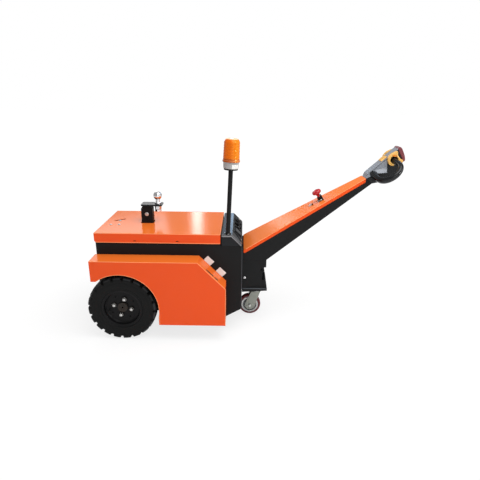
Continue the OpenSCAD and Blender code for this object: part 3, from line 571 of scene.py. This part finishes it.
def makeHitchDetails(look):
    r, neck, collar, shank = (look[key] for key in ("ballRadius", "neck", "collar", "shank"))
    middle, bevel = look["ball"][2], look["shankBevel"]
    low, plate = look["shankEnd"] - middle, look["plateTop"] - middle
    profile = [(0, low), (shank - bevel, low), (shank, low + bevel), (shank, plate)]
    profile += [(collar + out, plate + up) for out, up in look["collarSteps"]]
    profile += [(neck + out, plate + up) for out, up in look["neckFoot"]]
    profile.append((neck, -(r * r - neck * neck) ** 0.5 - look["neckTop"]))
    start, end = look["ballArc"]
    for k in range(look["ballSteps"] + 1):
        x, y = polar(r, start + (end - start) * k / look["ballSteps"])
        profile.append((y, -x))
    profile.append((0, profile[-1][1]))
    piece("towBall", turned(profile, 64), "chrome", standing(*look["ball"]), sharp=40,
          replaces=("tow_ball",))
    x, y = look["weldHalf"], look["weldSide"]
    weld = every(beadAlong([(-x * s, -y * s, 0), (x * s, -y * s, 0)], look["weldRadius"]) for s in (1, -1))
    piece("plateWeld", weld, "blackCoat", standing(*look["weld"]))


# Drive wheels. Sections are (radius, height) pairs from the bead to the middle of the tread;
# gapTurns are degrees from the middle of a gap between lugs, each with the gap's depth there
tyreLook = dict(
    lugs=20, start=-4, wall=((104, 34), (106, 37), (113, 40.6), (115, 43.2), (117, 45), (120, 46),
    (123, 46.2), (125, 45.4), (130, 46.2), (140, 46.8), (150, 46.9), (152, 47), (154, 47), (156, 46.4),
    (160, 46.2)), lug=((165, 46.6), (168, 47), (174, 47), (180, 45.8), (184, 43.8), (186.6, 40.5),
    (188.2, 36), (189.2, 26), (189.8, 18), (190, 12.5), (190, 12), (190, 4.5), (188, 3.6), (188, 0)),
    gap=((164.6, 46.4), (167, 46), (170, 44.6), (172.4, 42.6), (174.4, 39.8), (176.4, 36), (178.6, 32),
    (181, 24), (182.4, 17), (183.4, 12.5), (190, 11.6), (190, 4.5), (188, 3.6), (188, 0)),
    gapTurns=((-3.35, 0), (-3.1, 0.06), (-1.95, 0.94), (-1.65, 1), (1.65, 1), (1.95, 0.94), (3.1, 0.06),
    (3.35, 0), (4.0, 0), (4.7, 0), (5.4, 0)))


def tyreForm(look):  # the gaps of one shoulder stand between those of the other
    wall = list(look["wall"])

    def shoulder(depth):
        return [(r + (gapR - r) * depth, h + (gapH - h) * depth)
                for (r, h), (gapR, gapH) in zip(look["lug"], look["gap"])]

    sections = []
    for k in range(look["lugs"] * 2):
        for step, depth in look["gapTurns"]:
            near, far = (depth, 0) if k % 2 == 0 else (0, depth)
            line = wall + shoulder(near) + [(r, -h) for r, h in shoulder(far)[-2::-1] + wall[::-1]]
            turn = look["start"] + k * 180 / look["lugs"] + step
            sections.append([(*polar(r, turn), h) for r, h in line])
    return lofted(sections, closed=True)


wheelLook = dict(
    nutCircle=49, nutTurn=-14, nutSeat=16, nutTwist=17, nutRadius=12.4, nutFoot=3.5, nutTop=11.8,
    dome=((0.86, 0), (0.86, 10.2), (0.8, 12.6), (0.6, 14.2), (0.3, 15), (0, 15.2)), drum=((60, 4),
    (78, 4), (78, 10.6), (60, 10.6)), valve=(78, 196), stem=((0, 8), (5.5, 8), (5.5, 18), (4, 20),
    (3.6, 34), (2.6, 35), (2.6, 42), (0, 42)), cap=((5.6, 27), (8, 27), (8, 27.6), (5.6, 27.6)),
    ringRadii=(12, 20), ring=((0, 27), (1.6, 27.2), (1.6, 27.5), (0, 27.7)))


def makeWheels(tyre, look):
    radius = look["nutRadius"]
    dome = turned([(radius * share, height) for share, height in look["dome"]], 32)
    nuts = []
    for k in range(4):
        nut = slab(hexOutline(radius, k * look["nutTwist"]), look["nutFoot"], look["nutTop"]) + dome
        nuts.append(nut.moved(*polar(look["nutCircle"], k * 90 + look["nutTurn"]), look["nutSeat"]))
    rings = [turned([(start + r, h) for r, h in look["ring"]], 48, closed=True)
             for start in look["ringRadii"]]
    for name, side in sides.items():
        place = sideways(0, wheelMiddle, axleHeight, side)
        body = "wheel_" + name
        piece("lugTyre_" + name, tyreForm(tyre), "tyreRubber", place, body, sharp=26,
              replaces=("tyre_" + name,))
        piece("wheelNuts_" + name, every(nuts), "zinc", place, body, edge=0.5)
        piece("brakeDrum_" + name, turned(look["drum"], 64, closed=True), "wheelBlack", place,
              body)
        piece("valveStem_" + name, turned(look["stem"], 20).moved(*polar(*look["valve"])), "softBlack",
              place, body)
        piece("hubRings_" + name, turned(look["cap"], 32, closed=True) + every(rings), "hubSteel", place,
              body)


# Beacon: finer ribbed lens, its ring, the blank plate on its base and the foot's screws
beaconLook = dict(
    foot=(583, -207, 598), lean=2.3, seat=404, lensRadius=43, lensHeight=108, band=((0, 0), (0, 7.4),
    (-0.6, 8.2), (-1.1, 8.6)), ribs=6, ribFrom=9, ribPitch=14, ribLong=13, ribDepth=1.1, ribRise=0.8,
    ribTaper=0.3, ribSteps=8, crown=((-4, -13), (-5, -11), (-6.6, -7), (-9.6, -3.4), (-13, -1), (-16, 0)),
    ringSeat=394.5, ring=((44.6, 0), (45.5, 0.6), (45.6, 7), (44.8, 8.6), (43.2, 9.2), (43.2, 0)),
    plateTurn=-52, plateSpan=62, plateSteps=12, plateHeights=(362, 384), plateRadii=(41.2, 41.9),
    screwCircle=17, screwTurns=(40, 160, 280), screwSize=(3.2, 1.6), screwSeat=4)


def makeBeacon(look):
    lean = radians(look["lean"])
    place = placeAt(look["foot"], (1, 0, 0), (sin(lean), 0, cos(lean)))
    r, top = look["lensRadius"], look["lensHeight"]
    profile = [(0, 0)] + [(r + out, height) for out, height in look["band"]]
    for k in range(look["ribs"]):
        for i in range(look["ribSteps"] + 1):
            share = i / look["ribSteps"]
            out = look["ribRise"] * sin(pi * share) ** 0.6 - look["ribDepth"] - k * look["ribTaper"]
            profile.append((r + out, look["ribFrom"] + k * look["ribPitch"] + look["ribLong"] * share))
    profile += [(r + out, top + up) for out, up in look["crown"]] + [(0, top)]
    piece("ribbedLens", turned(profile, 72), "amberLens", raised(place, look["seat"]),
          sharp=80, replaces=("beacon_lens",))
    piece("lensRing", turned(look["ring"], 72, closed=True), "amberLens",
          raised(place, look["ringSeat"]), sharp=50)
    (inner, outer), (low, high) = look["plateRadii"], look["plateHeights"]
    corners = ((inner, low), (inner, high), (outer, high), (outer, low))
    plate = []
    for k in range(look["plateSteps"] + 1):
        turn = look["plateTurn"] + (k / look["plateSteps"] - 0.5) * look["plateSpan"]
        plate.append([(*polar(radius, turn), height) for radius, height in corners])
    piece("beaconPlate", lofted(plate), "plateWhite", place)
    screws = every(screwHead(*look["screwSize"]).moved(*polar(look["screwCircle"], turn), look["screwSeat"])
                   for turn in look["screwTurns"])
    piece("footScrews", screws, "zinc", standing(*look["foot"]))


# Console: bevels of the cap painted lighter grey as highlights, a black strip of painted shade in the seam,
# and display, key, push caps and screws on the panel.
# rim holds the corners of one bevel; u on the panel goes down the slope
consoleLook = dict(
    cap=(549, 0, 598), lift=(0.2, 0.5, 0.45), rim=((0, 221, 0), (58, 221, 0), (112, 221, -54),
    (107, 231, -63), (53.9, 231, -10), (0, 231, -10)), seam=(600, 0, 533), seamLong=(-51, 62.4),
    seamWide=(225.5, 226.9), seamHalf=1.6, slope=(607, 598), middle=40, display=-88, key=145,
    frame=(44, 60, 5), frameHeights=(4.5, 7), glass=(34, 50, 3), glassHeights=(5, 7.6), barrel=((0, 5),
    (15, 5), (15, 8), (13, 10), (9, 10), (8, 8.6), (0, 8.6)), bow=(20, 13, 6), bowHeights=(14, 16.4),
    blade=(8, 2.4, 0.8), bladeHeights=(8, 15), pushes=((-8, "displayGlass"), (62, "panelPlastic")),
    pushRing=((0, 4), (10.5, 4), (10.5, 6), (9, 7.4), (0, 7.4)), pushCap=((0, 7), (7.5, 7), (7.5, 9.4),
    (6.4, 10.4), (0, 10.8)), screws=((12, -125), (68, -170), (12, 212), (68, 212)), screwSize=(2.8, 1.6),
    screwSeat=2.2)


def makeConsoleDetails(look):
    for name, side in sides.items():
        rim = [Vector((x, side * y, z)) for x, y, z in look["rim"]]
        lift = Vector(look["lift"]) * Vector((1, side, 1))
        n = len(rim)
        faces = [(0, 1, 4, 5), (1, 2, 3, 4), (n, n + 1, n + 4, n + 5), (n + 1, n + 2, n + 3, n + 4)]
        faces += [(k, (k + 1) % n, (k + 1) % n + n, k + n) for k in range(n)]
        # bevels in a lighter grey: painted highlights along the cap's edges
        piece("capBevel_" + name, Form([p - lift for p in rim] + [p + lift for p in rim], faces),
              "bendHighlightGrey", standing(*look["cap"]))
    (x0, x1), (y0, y1), half = look["seamLong"], look["seamWide"], look["seamHalf"]
    strips = every(slab([(x0, s * y0), (x1, s * y0), (x1, s * y1), (x0, s * y1)], -half, half)
                   for s in (-1, 1))
    # a black strip of painted shade in the seam under the cap
    piece("seamShadeStrip", strips, "softBlack", standing(*look["seam"]), edge=0.4)

    def onSlope(u, y):
        x, z = look["slope"]
        return placeAt((x + u * cos(pi / 4), y, z - u * cos(pi / 4)), (1, 0, -1), (1, 0, 1))

    def rounded(key):
        return slab(roundedOutline(*look[key]), *look[key + "Heights"])

    display, key = onSlope(look["middle"], look["display"]), onSlope(look["middle"], look["key"])
    piece("displayFrame", rounded("frame"), "panelPlastic", display, edge=0.8)
    piece("displayGlass", rounded("glass"), "displayGlass", display, edge=0.4)
    piece("keyBarrel", turned(look["barrel"]), "glossBlack", key)
    piece("startKey", rounded("bow") + rounded("blade"), "zinc", key, edge=0.4)
    for k, (y, finish) in enumerate(look["pushes"]):
        place = onSlope(look["middle"], y)
        piece("pushRing_%d" % (k + 1), turned(look["pushRing"]), "panelPlastic", place)
        piece("pushCap_%d" % (k + 1), turned(look["pushCap"]), finish, place)
    for k, (u, y) in enumerate(look["screws"]):
        screw = screwHead(*look["screwSize"]).moved(z=look["screwSeat"])
        piece("panelScrew_%d" % (k + 1), screw, "zinc", onSlope(u, y))


# Fenders: cut slots of the slanted corner as black patches of painted shade, their edges painted lighter as
# highlights, and the plates' rivets
fenderLook = dict(
    corner=(425, 476), slots=((64, 120), (128, 152)), slotMiddle=317.5, slotWide=15, slotRound=2.5,
    slotHeights=(-0.4, 0.5), edgeWide=1.6, edgeRound=0.7, edgeHeights=(-0.4, 0.9), edgeOut=0.9,
    edgeMore=2, plateDown=(42, 109), plateFace=227.5, plateRise=12.02, rivets=(21, 12.5),
    rivetSize=(1.8, 0.9))


def makeFenderDetails(look):
    x0, z0 = look["corner"]
    u, v = (size * cos(pi / 4) for size in look["rivets"])
    for name, side in sides.items():
        dark, light = [], []
        for start, end in look["slots"]:
            middle, length, wide = (start + end) / 2, end - start, look["slotWide"]
            hole = roundedOutline(length, wide, look["slotRound"])
            rim = roundedOutline(length + look["edgeMore"], look["edgeWide"], look["edgeRound"])
            dark.append(slab(hole, *look["slotHeights"]).moved(middle))
            light.append(slab(rim, *look["edgeHeights"]).moved(middle, side * (wide / 2 + look["edgeOut"])))
        place = placeAt((x0, side * look["slotMiddle"], z0), (1, 0, -1), (1, 0, 1))
        # black patches of painted shade for the slots, and edges painted lighter as highlights
        piece("cornerSlotShade_" + name, every(dark), "softBlack", place)
        piece("slotEdgeHighlight_" + name, every(light), "bendHighlightOrange", place, edge=0.3)
        rivets = []
        for down in look["plateDown"]:
            for along, up in ((-u, -v), (-u, v), (u, -v), (u, v)):
                x, z = look["plateRise"] + down + along + up, look["plateRise"] - down - along + up
                rivets.append(screwHead(*look["rivetSize"], 12).moved(x, -side * z))
        piece("plateRivets_" + name, every(rivets), "zinc", sideways(x0, look["plateFace"], z0, side))


# Tiller base: side screws on washers and the welds at the body
baseLook = dict(
    screw=(680.5, 139.2, 307), washer=((0, 0), (7, 0), (7, 1), (0, 1)), screwSize=(5.6, 3.4), screwSeat=1,
    weld=(663.3, 140, 236), weldLong=160, weldRadius=1.8)


def makeTillerDetails(look):
    screw = turned(look["washer"], 28) + screwHead(*look["screwSize"]).moved(z=look["screwSeat"])
    weld = beadAlong([(0, 0, 0), (0, 0, look["weldLong"])], look["weldRadius"])
    x, y, z = look["weld"]
    for name, side in sides.items():
        piece("baseScrew_" + name, screw, "chrome", sideways(*look["screw"], side))
        piece("baseWeld_" + name, weld, "blackCoat", standing(x, side * y, z))


# Bends: beads along the folded edges of the sheets, painted lighter than the faces as highlights
coverLook = dict(
    foot=(671, 143, 479), tip=(1353, 46, 883.9), deg=30.7, bend=(0.02, 0.995))
bendLook = dict(
    radius=2.0, sink=1.2, lidLong=(-148, 543), lidHalf=231, lidTop=600, lidLow=546, lidShort=2,
    lowShort=10, endShort=3, fender=((-151, 476), (425, 476), (575, 326), (575, 100)), fenderSide=337,
    fenderMiddle=(300, 300), arch=(0, 190), archRadius=210.2, archFrom=126, archSteps=48, body=(663, 226),
    bodyHeights=(150, 530), bodyMiddle=300, lip=(667, 140.6, 233), lipLong=139, lipOut=1.2, lipHigh=8)


def makeBend(name, lines, finish, middle, radius):  # beads through points, set about a middle
    beads = every(beadAlong([Vector(p) - Vector(middle) for p in line], radius) for line in lines)
    piece(name, beads, finish, standing(*middle))


def makeBends(look, cover):
    r, sink = look["radius"], look["sink"]
    (x0, x1), half, short = look["lidLong"], look["lidHalf"], look["lidShort"]
    top, low = look["lidTop"] - sink, look["lidLow"] + r
    for name, side in sides.items():
        y, edge = side * (half - sink), side * half
        lines = [[(x0 + short, y, top), (x1 - short, y, top)],
                 [(x0 + look["lowShort"], edge, low), (x1 - short, edge, low)]]
        makeBend("lidBends_" + name, lines, "bendHighlightOrange", (x1 / 2, 0, look["lidTop"]), r)

        y = side * (look["fenderSide"] - sink)
        lines = [[(a[0], y, a[1] - sink), (b[0] - sink, y, b[1] - sink)]
                 for a, b in zip(look["fender"], look["fender"][1:])]
        turns = [look["archFrom"] * (1 - k / look["archSteps"]) for k in range(look["archSteps"] + 1)]
        (cx, cz), (x, z) = look["arch"], look["fenderMiddle"]
        arch = [polar(look["archRadius"], turn) for turn in turns]
        arch.append((look["archRadius"], look["fender"][-1][1] - cz))
        lines.append([(cx + across, y, cz + up) for across, up in arch])
        makeBend("fenderBends_" + name, lines, "bendHighlightOrange", (x, y, z), r)

        x, y = look["body"][0] - sink, side * (look["body"][1] - sink)
        line = [(x, y, z) for z in look["bodyHeights"]]
        makeBend("bodyBend_" + name, [line], "bendHighlightBlack", (x, y, look["bodyMiddle"]), r)

        (fx, fy, fz), (tx, ty, tz) = cover["foot"], cover["tip"]
        foot = Vector((fx, side * (fy - sink), fz - sink))
        tip = Vector((tx, side * (ty - sink), tz - sink))
        line = [foot + (tip - foot) * share for share in cover["bend"]]
        makeBend("coverBend_" + name, [line], "bendHighlightOrange", foot, r)

        x, y, z = look["lip"]
        long, out = look["lipLong"], side * look["lipOut"]
        lip = slab([(0, 0), (long, 0), (long, out), (0, out)], 0, look["lipHigh"])
        piece("baseLip_" + name, lip, "bendHighlightBlack", standing(x, side * y, z), edge=0.5)
    x, y = x1 - sink, half - look["endShort"]
    makeBend("lidEndBend", [[(x, -y, top), (x, y, top)]], "bendHighlightOrange", (x, 0, top), r)


# Caster: axle caps, bolts and rings of the wheel, and the swivel's race
casterLook = dict(
    axle=(716, 68), capSide=31.2, capSeat=4, cap=((6.4, 0), (9.2, 0), (9.2, 1.2), (7, 5.4), (0, 6.2)),
    boltSide=15.2, boltSize=(4.2, 2.4, 20), boltCircle=26, boltTurns=(35, 155, 275), rimSide=18.1,
    rim=((43.4, 0), (50.5, 0), (50, 0.7), (44, 0.7)), coverSide=15.3, cover=((30, 0), (33.6, 0),
    (33.4, 0.6), (30.2, 0.6)), swivel=(752, 0, 163.9), race=((31.4, -1.4), (33.4, -0.6), (34, 0.8),
    (33.4, 2.2), (31.4, 3), (29, 3), (29, -1.4)))


def makeCasterDetails(look):
    x, z = look["axle"]
    cap = turned(look["cap"], 24).moved(z=look["capSeat"])
    for name, side in sides.items():
        piece("axleCap_" + name, cap, "zinc", sideways(x, look["capSide"], z, side),
              "caster_swivel")
    bolts = every(hexHead(*look["boltSize"]).moved(*polar(look["boltCircle"], turn))
                  for turn in look["boltTurns"])
    trims = (("coreBolts_", bolts, "hubSteel", look["boltSide"], "zinc_steel"),
             ("rimRing_", turned(look["rim"], 64, closed=True), "zinc", look["rimSide"], "caster_grey"),
             ("coverRing_", turned(look["cover"], 64, closed=True), "softBlack", look["coverSide"],
              "caster_grey"))
    for name, side in sides.items():
        for start, form, finish, out, slot in trims:
            piece(start + name, form, finish, sideways(x, out, z, side), "caster_wheel")
    piece("swivelRace", turned(look["race"], 48, closed=True), "zinc", standing(*look["swivel"]),
          "caster_swivel")


# Emergency knob with its collar and screws, and the key's guard and barrel, on the arm cover
knobLook = dict(
    x=1118, neck=25, mushroom=((0, 0), (9, 0), (8.4, 5), (10, 12), (13.6, 17.6), (19, 20.4), (23.4, 22.6),
    (25.8, 25.4), (26.5, 29), (26.3, 33), (25, 36.8), (21.6, 40), (17.6, 42), (12, 43.8), (6, 45),
    (0, 45.4)), collar=((13, 3), (15.5, 3), (15.5, 6), (14.2, 7.4), (13, 7.4)), screwsX=(-14, 3),
    screwsY=(-16.5, 16.5), screwSize=(2.4, 1.3, 16), screwSeat=3, keyX=1063, guard=(10, 18.6, 1.5),
    guardHigh=4.8, guardX=8.6, barrel=((0, 6), (5.4, 6), (5.4, 9), (4, 9.6), (0, 9.6)))


def onSlant(spot, deg):  # on a face that rises towards the handle
    slant = radians(deg)
    return placeAt(spot, (cos(slant), 0, sin(slant)), (-sin(slant), 0, cos(slant)))


def onCover(x, look):
    footX, _, footZ = look["foot"]
    return onSlant((x, 0, footZ + (x - footX) * tan(radians(look["deg"]))), look["deg"])


def makeKnobDetails(look, cover):
    place = onCover(look["x"], cover)
    piece("mushroomKnob", turned(look["mushroom"], 56), "knobRed", raised(place, look["neck"]),
          sharp=60, replaces=("stop_knob",))
    screws = every(screwHead(*look["screwSize"]).moved(x, y, look["screwSeat"])
                   for x in look["screwsX"] for y in look["screwsY"])
    piece("knobCollar", turned(look["collar"], closed=True), "zinc", place)
    piece("bracketScrews", screws, "zinc", place)
    place = onCover(look["keyX"], cover)
    guard = slab(roundedOutline(*look["guard"]), 0, look["guardHigh"]).moved(look["guardX"])
    piece("keyGuard", guard, "softBlack", place, edge=0.5)
    piece("keyBarrelArm", turned(look["barrel"], 24), "zinc", place)


# Handle, in the head's own slanted frame: smoother loop grips, butterfly throttles with a darker patch of
# painted shade in each hollow, seams, and slots as black patches of painted shade
handleLook = dict(
    origin=(1346, 0, 894.942), deg=42.5, half=32, loopU=175, rootV=-28, root=-4, droop=20, reach=126,
    nearBend=58, farBend=72, railU=115, wide=(14, 17), high=(14, 24), loopSides=28,
    throttleSides=(0.6, 20), butterfly=((43, 25), (36, 31), (13, 37), (-6, 37), (-20, 31), (-31, 16),
    (-36, -3), (-30, -18), (-19, -25), (-14, -21), (-16, -12), (-21, -2), (-20, 8), (-13, 17), (-2, 22),
    (10, 20), (18, 12), (21, 1), (20, -10), (14, -17), (13, -32), (19, -44), (31, -40), (36, -31),
    (30, -20), (29, -3), (31, 10)), hollow=((184, -2), (190, -6), (198, -15), (201, -22), (197, -24),
    (190, -21), (183, -13), (181, -6)), hollowSides=(-0.6, 0.9), seam=(12, 150), seamV=-5.5,
    seamRadius=0.9, slot=(16, 4.4, 1.5), slotSides=(-0.3, 0.6), slotAt=(85, -29))


def loopLine(look, side):  # out of the head, round the two bends and back
    u, reach, rail = look["loopU"], look["reach"], look["railU"]
    near, far, root = look["nearBend"], look["farBend"], look["root"]
    flat = [(u, root), (u, (reach - near) / 2)]
    for middle, bend, turns in ((u - near, near, range(0, 91, 9)), (rail, far, range(99, 181, 9))):
        for turn in turns:
            x, out = polar(bend, turn)
            flat.append((middle + x, reach - bend + out))
    flat += [(rail - far, (reach - far) / 2), (rail - far, root)]
    down, level = sin(radians(look["droop"])), cos(radians(look["droop"]))
    return [Vector((x, side * (look["half"] + out * level), look["rootV"] - out * down)) for x, out in flat]


def makeHandle(look):
    place = onSlant(look["origin"], look["deg"])
    droop, half = radians(look["droop"]), look["half"]
    inner, outer = look["throttleSides"]
    lift = look["rootV"] - outer / 2 * tan(droop)
    for name, side in sides.items():
        line = loopLine(look, side)
        grown = [(k / (len(line) - 1)) ** 2 for k in range(len(line))]  # thicker towards the rail
        wide, high = ([start + (end - start) * share for share in grown]
                      for start, end in (look["wide"], look["high"]))
        loop = swept(line, wide, high, look["loopSides"], (0, side * sin(droop), cos(droop)))
        piece("loopGrip_" + name, loop, "gripBlack", place, sharp=60,
              replaces=("loop_" + name,))
        butterfly = slab(look["butterfly"], inner, outer).onItsSide(look["loopU"], half, lift, side)
        piece("butterfly_" + name, butterfly, "throttleYellow", place, edge=3.2,
              segments=4, sharp=40, replaces=("throttle_" + name,))
        seam = beadAlong([(x, side * half, look["seamV"]) for x in look["seam"]], look["seamRadius"], 6)
        # the slot is a black slab on the face: painted shade of its opening
        x, z = look["slotAt"]
        slot = slab(roundedOutline(*look["slot"]), *look["slotSides"]).onItsSide(x, half, z, side)
        piece("headSeam_" + name, seam + slot, "softBlack", place)
        # a darker patch on each throttle's face: painted shade of its hollow
        hollow = slab(look["hollow"], *look["hollowSides"]).onItsSide(0, half + outer, 0, side)
        piece("butterflyHollowShade_" + name, hollow, "paintedShadeThrottle", place, edge=0.3)


makeLidDetails(lidLook)
makeHitchDetails(hitchLook)
makeWheels(tyreLook, wheelLook)
print("lid, hitch and wheels detailed")
makeBeacon(beaconLook)
makeConsoleDetails(consoleLook)
makeFenderDetails(fenderLook)
makeTillerDetails(baseLook)
makeBends(bendLook, coverLook)
print("beacon, console, fenders and base detailed")
makeCasterDetails(casterLook)
makeKnobDetails(knobLook, coverLook)
makeHandle(handleLook)
print("caster, knob and handle detailed")

# Stage, in metres: floor, world, lamps and camera
white, cool = (1, 1, 1), (0.5, 0.72, 1)
stageLook = dict(
    floorHalf=30, floor=(0.96, 0.96, 0.96), floorWhite=1.04, nearShare=0.74, squeeze=(0.62, 1, 1),
    clearSpan=(0.65, 1.3), world=0.5, glossWorld=0.36)
lampLooks = {  # spot, aim, size, energy, colour
    "keyLamp": ((0.6, -0.9, 3.1), (0, 0, 0.4), (2.4, 2.4), 66, white),
    "fillLamp": ((1.0, -3.8, 1.3), (0, 0, 0.4), (2.4, 1.6), 22, white),
    "sideLamp": ((3.2, -0.8, 1.6), (0, 0, 0.5), (1.6, 1.6), 20, white),
    "backLamp": ((-1.6, 2.6, 2.2), (0, 0, 0.5), (1.6, 1.6), 15, white),
}
glossLampLooks = {  # these show only in reflections
    "lidStrip": ((-0.84, 5, 2.1), (-0.3, 0, 0.6), (0.18, 1.5), 5, white),
    "capStrip": ((-0.17, 5, 2.1), (-0.1, 0, 0.6), (0.14, 1.3), 2.6, cool),
    "handleLamp": ((1.85, 2.0, 2.9), (0.75, 0, 1.0), (1, 1), 12, cool),
    "lensLamp": ((2.48, -1.68, 1.35), (-0.1, -0.2, 1.05), (0.3, 0.3), 18, white),
}


def makeLamp(name, look, onlyGloss):
    spot, aim, size, energy, colour = look
    data = bpy.data.lights.new(name, "AREA")
    data.color = colour
    data.energy, data.shape, data.size, data.size_y = energy, "RECTANGLE", *size
    made = bpy.data.objects.new(name, data)
    made.location = spot
    made.rotation_mode = "QUATERNION"
    made.rotation_quaternion = (Vector(aim) - Vector(spot)).to_track_quat("-Z", "Y")
    made.visible_camera = False
    if onlyGloss:
        made.visible_diffuse = False
    scene.collection.objects.link(made)


def makeStage(look):
    mesh = bpy.data.meshes.new("floor")
    size = look["floorHalf"]
    mesh.from_pydata([(-size, -size, 0), (size, -size, 0), (size, size, 0), (-size, size, 0)], [],
                     [(0, 1, 2, 3)])
    floor = bpy.data.objects.new("floor", mesh)
    scene.collection.objects.link(floor)
    f = newFinish("studioFloor")
    seen = f.node("LightPath", {}, {}, "Is Camera Ray")
    far = f.between(look["clearSpan"], f.lengthOf(f.stretched(look["squeeze"])))
    ground = f.node("BsdfDiffuse", {}, {"Color": (*look["floor"], 1)})
    clear = f.node("Emission", {}, {"Color": (*white, 1), "Strength": look["floorWhite"]})
    share = (far + (1 - far) * look["nearShare"]) * seen
    f.output("Material", f.node("MixShader", {}, (share, ground, clear)))
    mesh.materials.append(f.owner)

    scene.world = bpy.data.worlds.new("studio")
    w = Finish(scene.world)
    camera, gloss, through = (w.node("LightPath", {}, {}, "Is %s Ray" % key)
                              for key in ("Camera", "Glossy", "Transmission"))
    level = look["world"]
    strength = level + (camera + through).clamp() * (1 - level) + gloss * (look["glossWorld"] - level)
    w.output("World", w.node("Background", {}, {"Color": (*white, 1), "Strength": strength}))


makeStage(stageLook)
for name, look in lampLooks.items():
    makeLamp(name, look, False)
for name, look in glossLampLooks.items():
    makeLamp(name, look, True)

# The camera's place is in millimetres and its turns in degrees; focal and width are in pixels
cameraLook = dict(
    spot=(653, -2360, 1316), yaw=-0.08, pitch=19.26, roll=-0.78, focal=413.9, width=480, sensor=36,
    clipEnd=200)


def makeCamera(look):
    yaw, pitch, roll = (radians(look[key]) for key in ("yaw", "pitch", "roll"))
    forward = Vector((sin(yaw) * cos(pitch), cos(yaw) * cos(pitch), -sin(pitch)))
    level = Vector((cos(yaw), -sin(yaw), 0))
    down = forward.cross(level)
    right = level * cos(roll) + down * sin(roll)
    up = level * sin(roll) - down * cos(roll)
    data = bpy.data.cameras.new("camera")
    data.sensor_width, data.lens = look["sensor"], look["focal"] / look["width"] * look["sensor"]
    data.clip_end = look["clipEnd"]
    made = bpy.data.objects.new("camera", data)
    made.matrix_world = Matrix((right, up, -forward)).transposed().to_4x4()
    made.location = mm(*look["spot"])
    scene.collection.objects.link(made)
    scene.camera = made


makeCamera(cameraLook)
scene.view_settings.view_transform = "Standard"
print("stage and camera set")
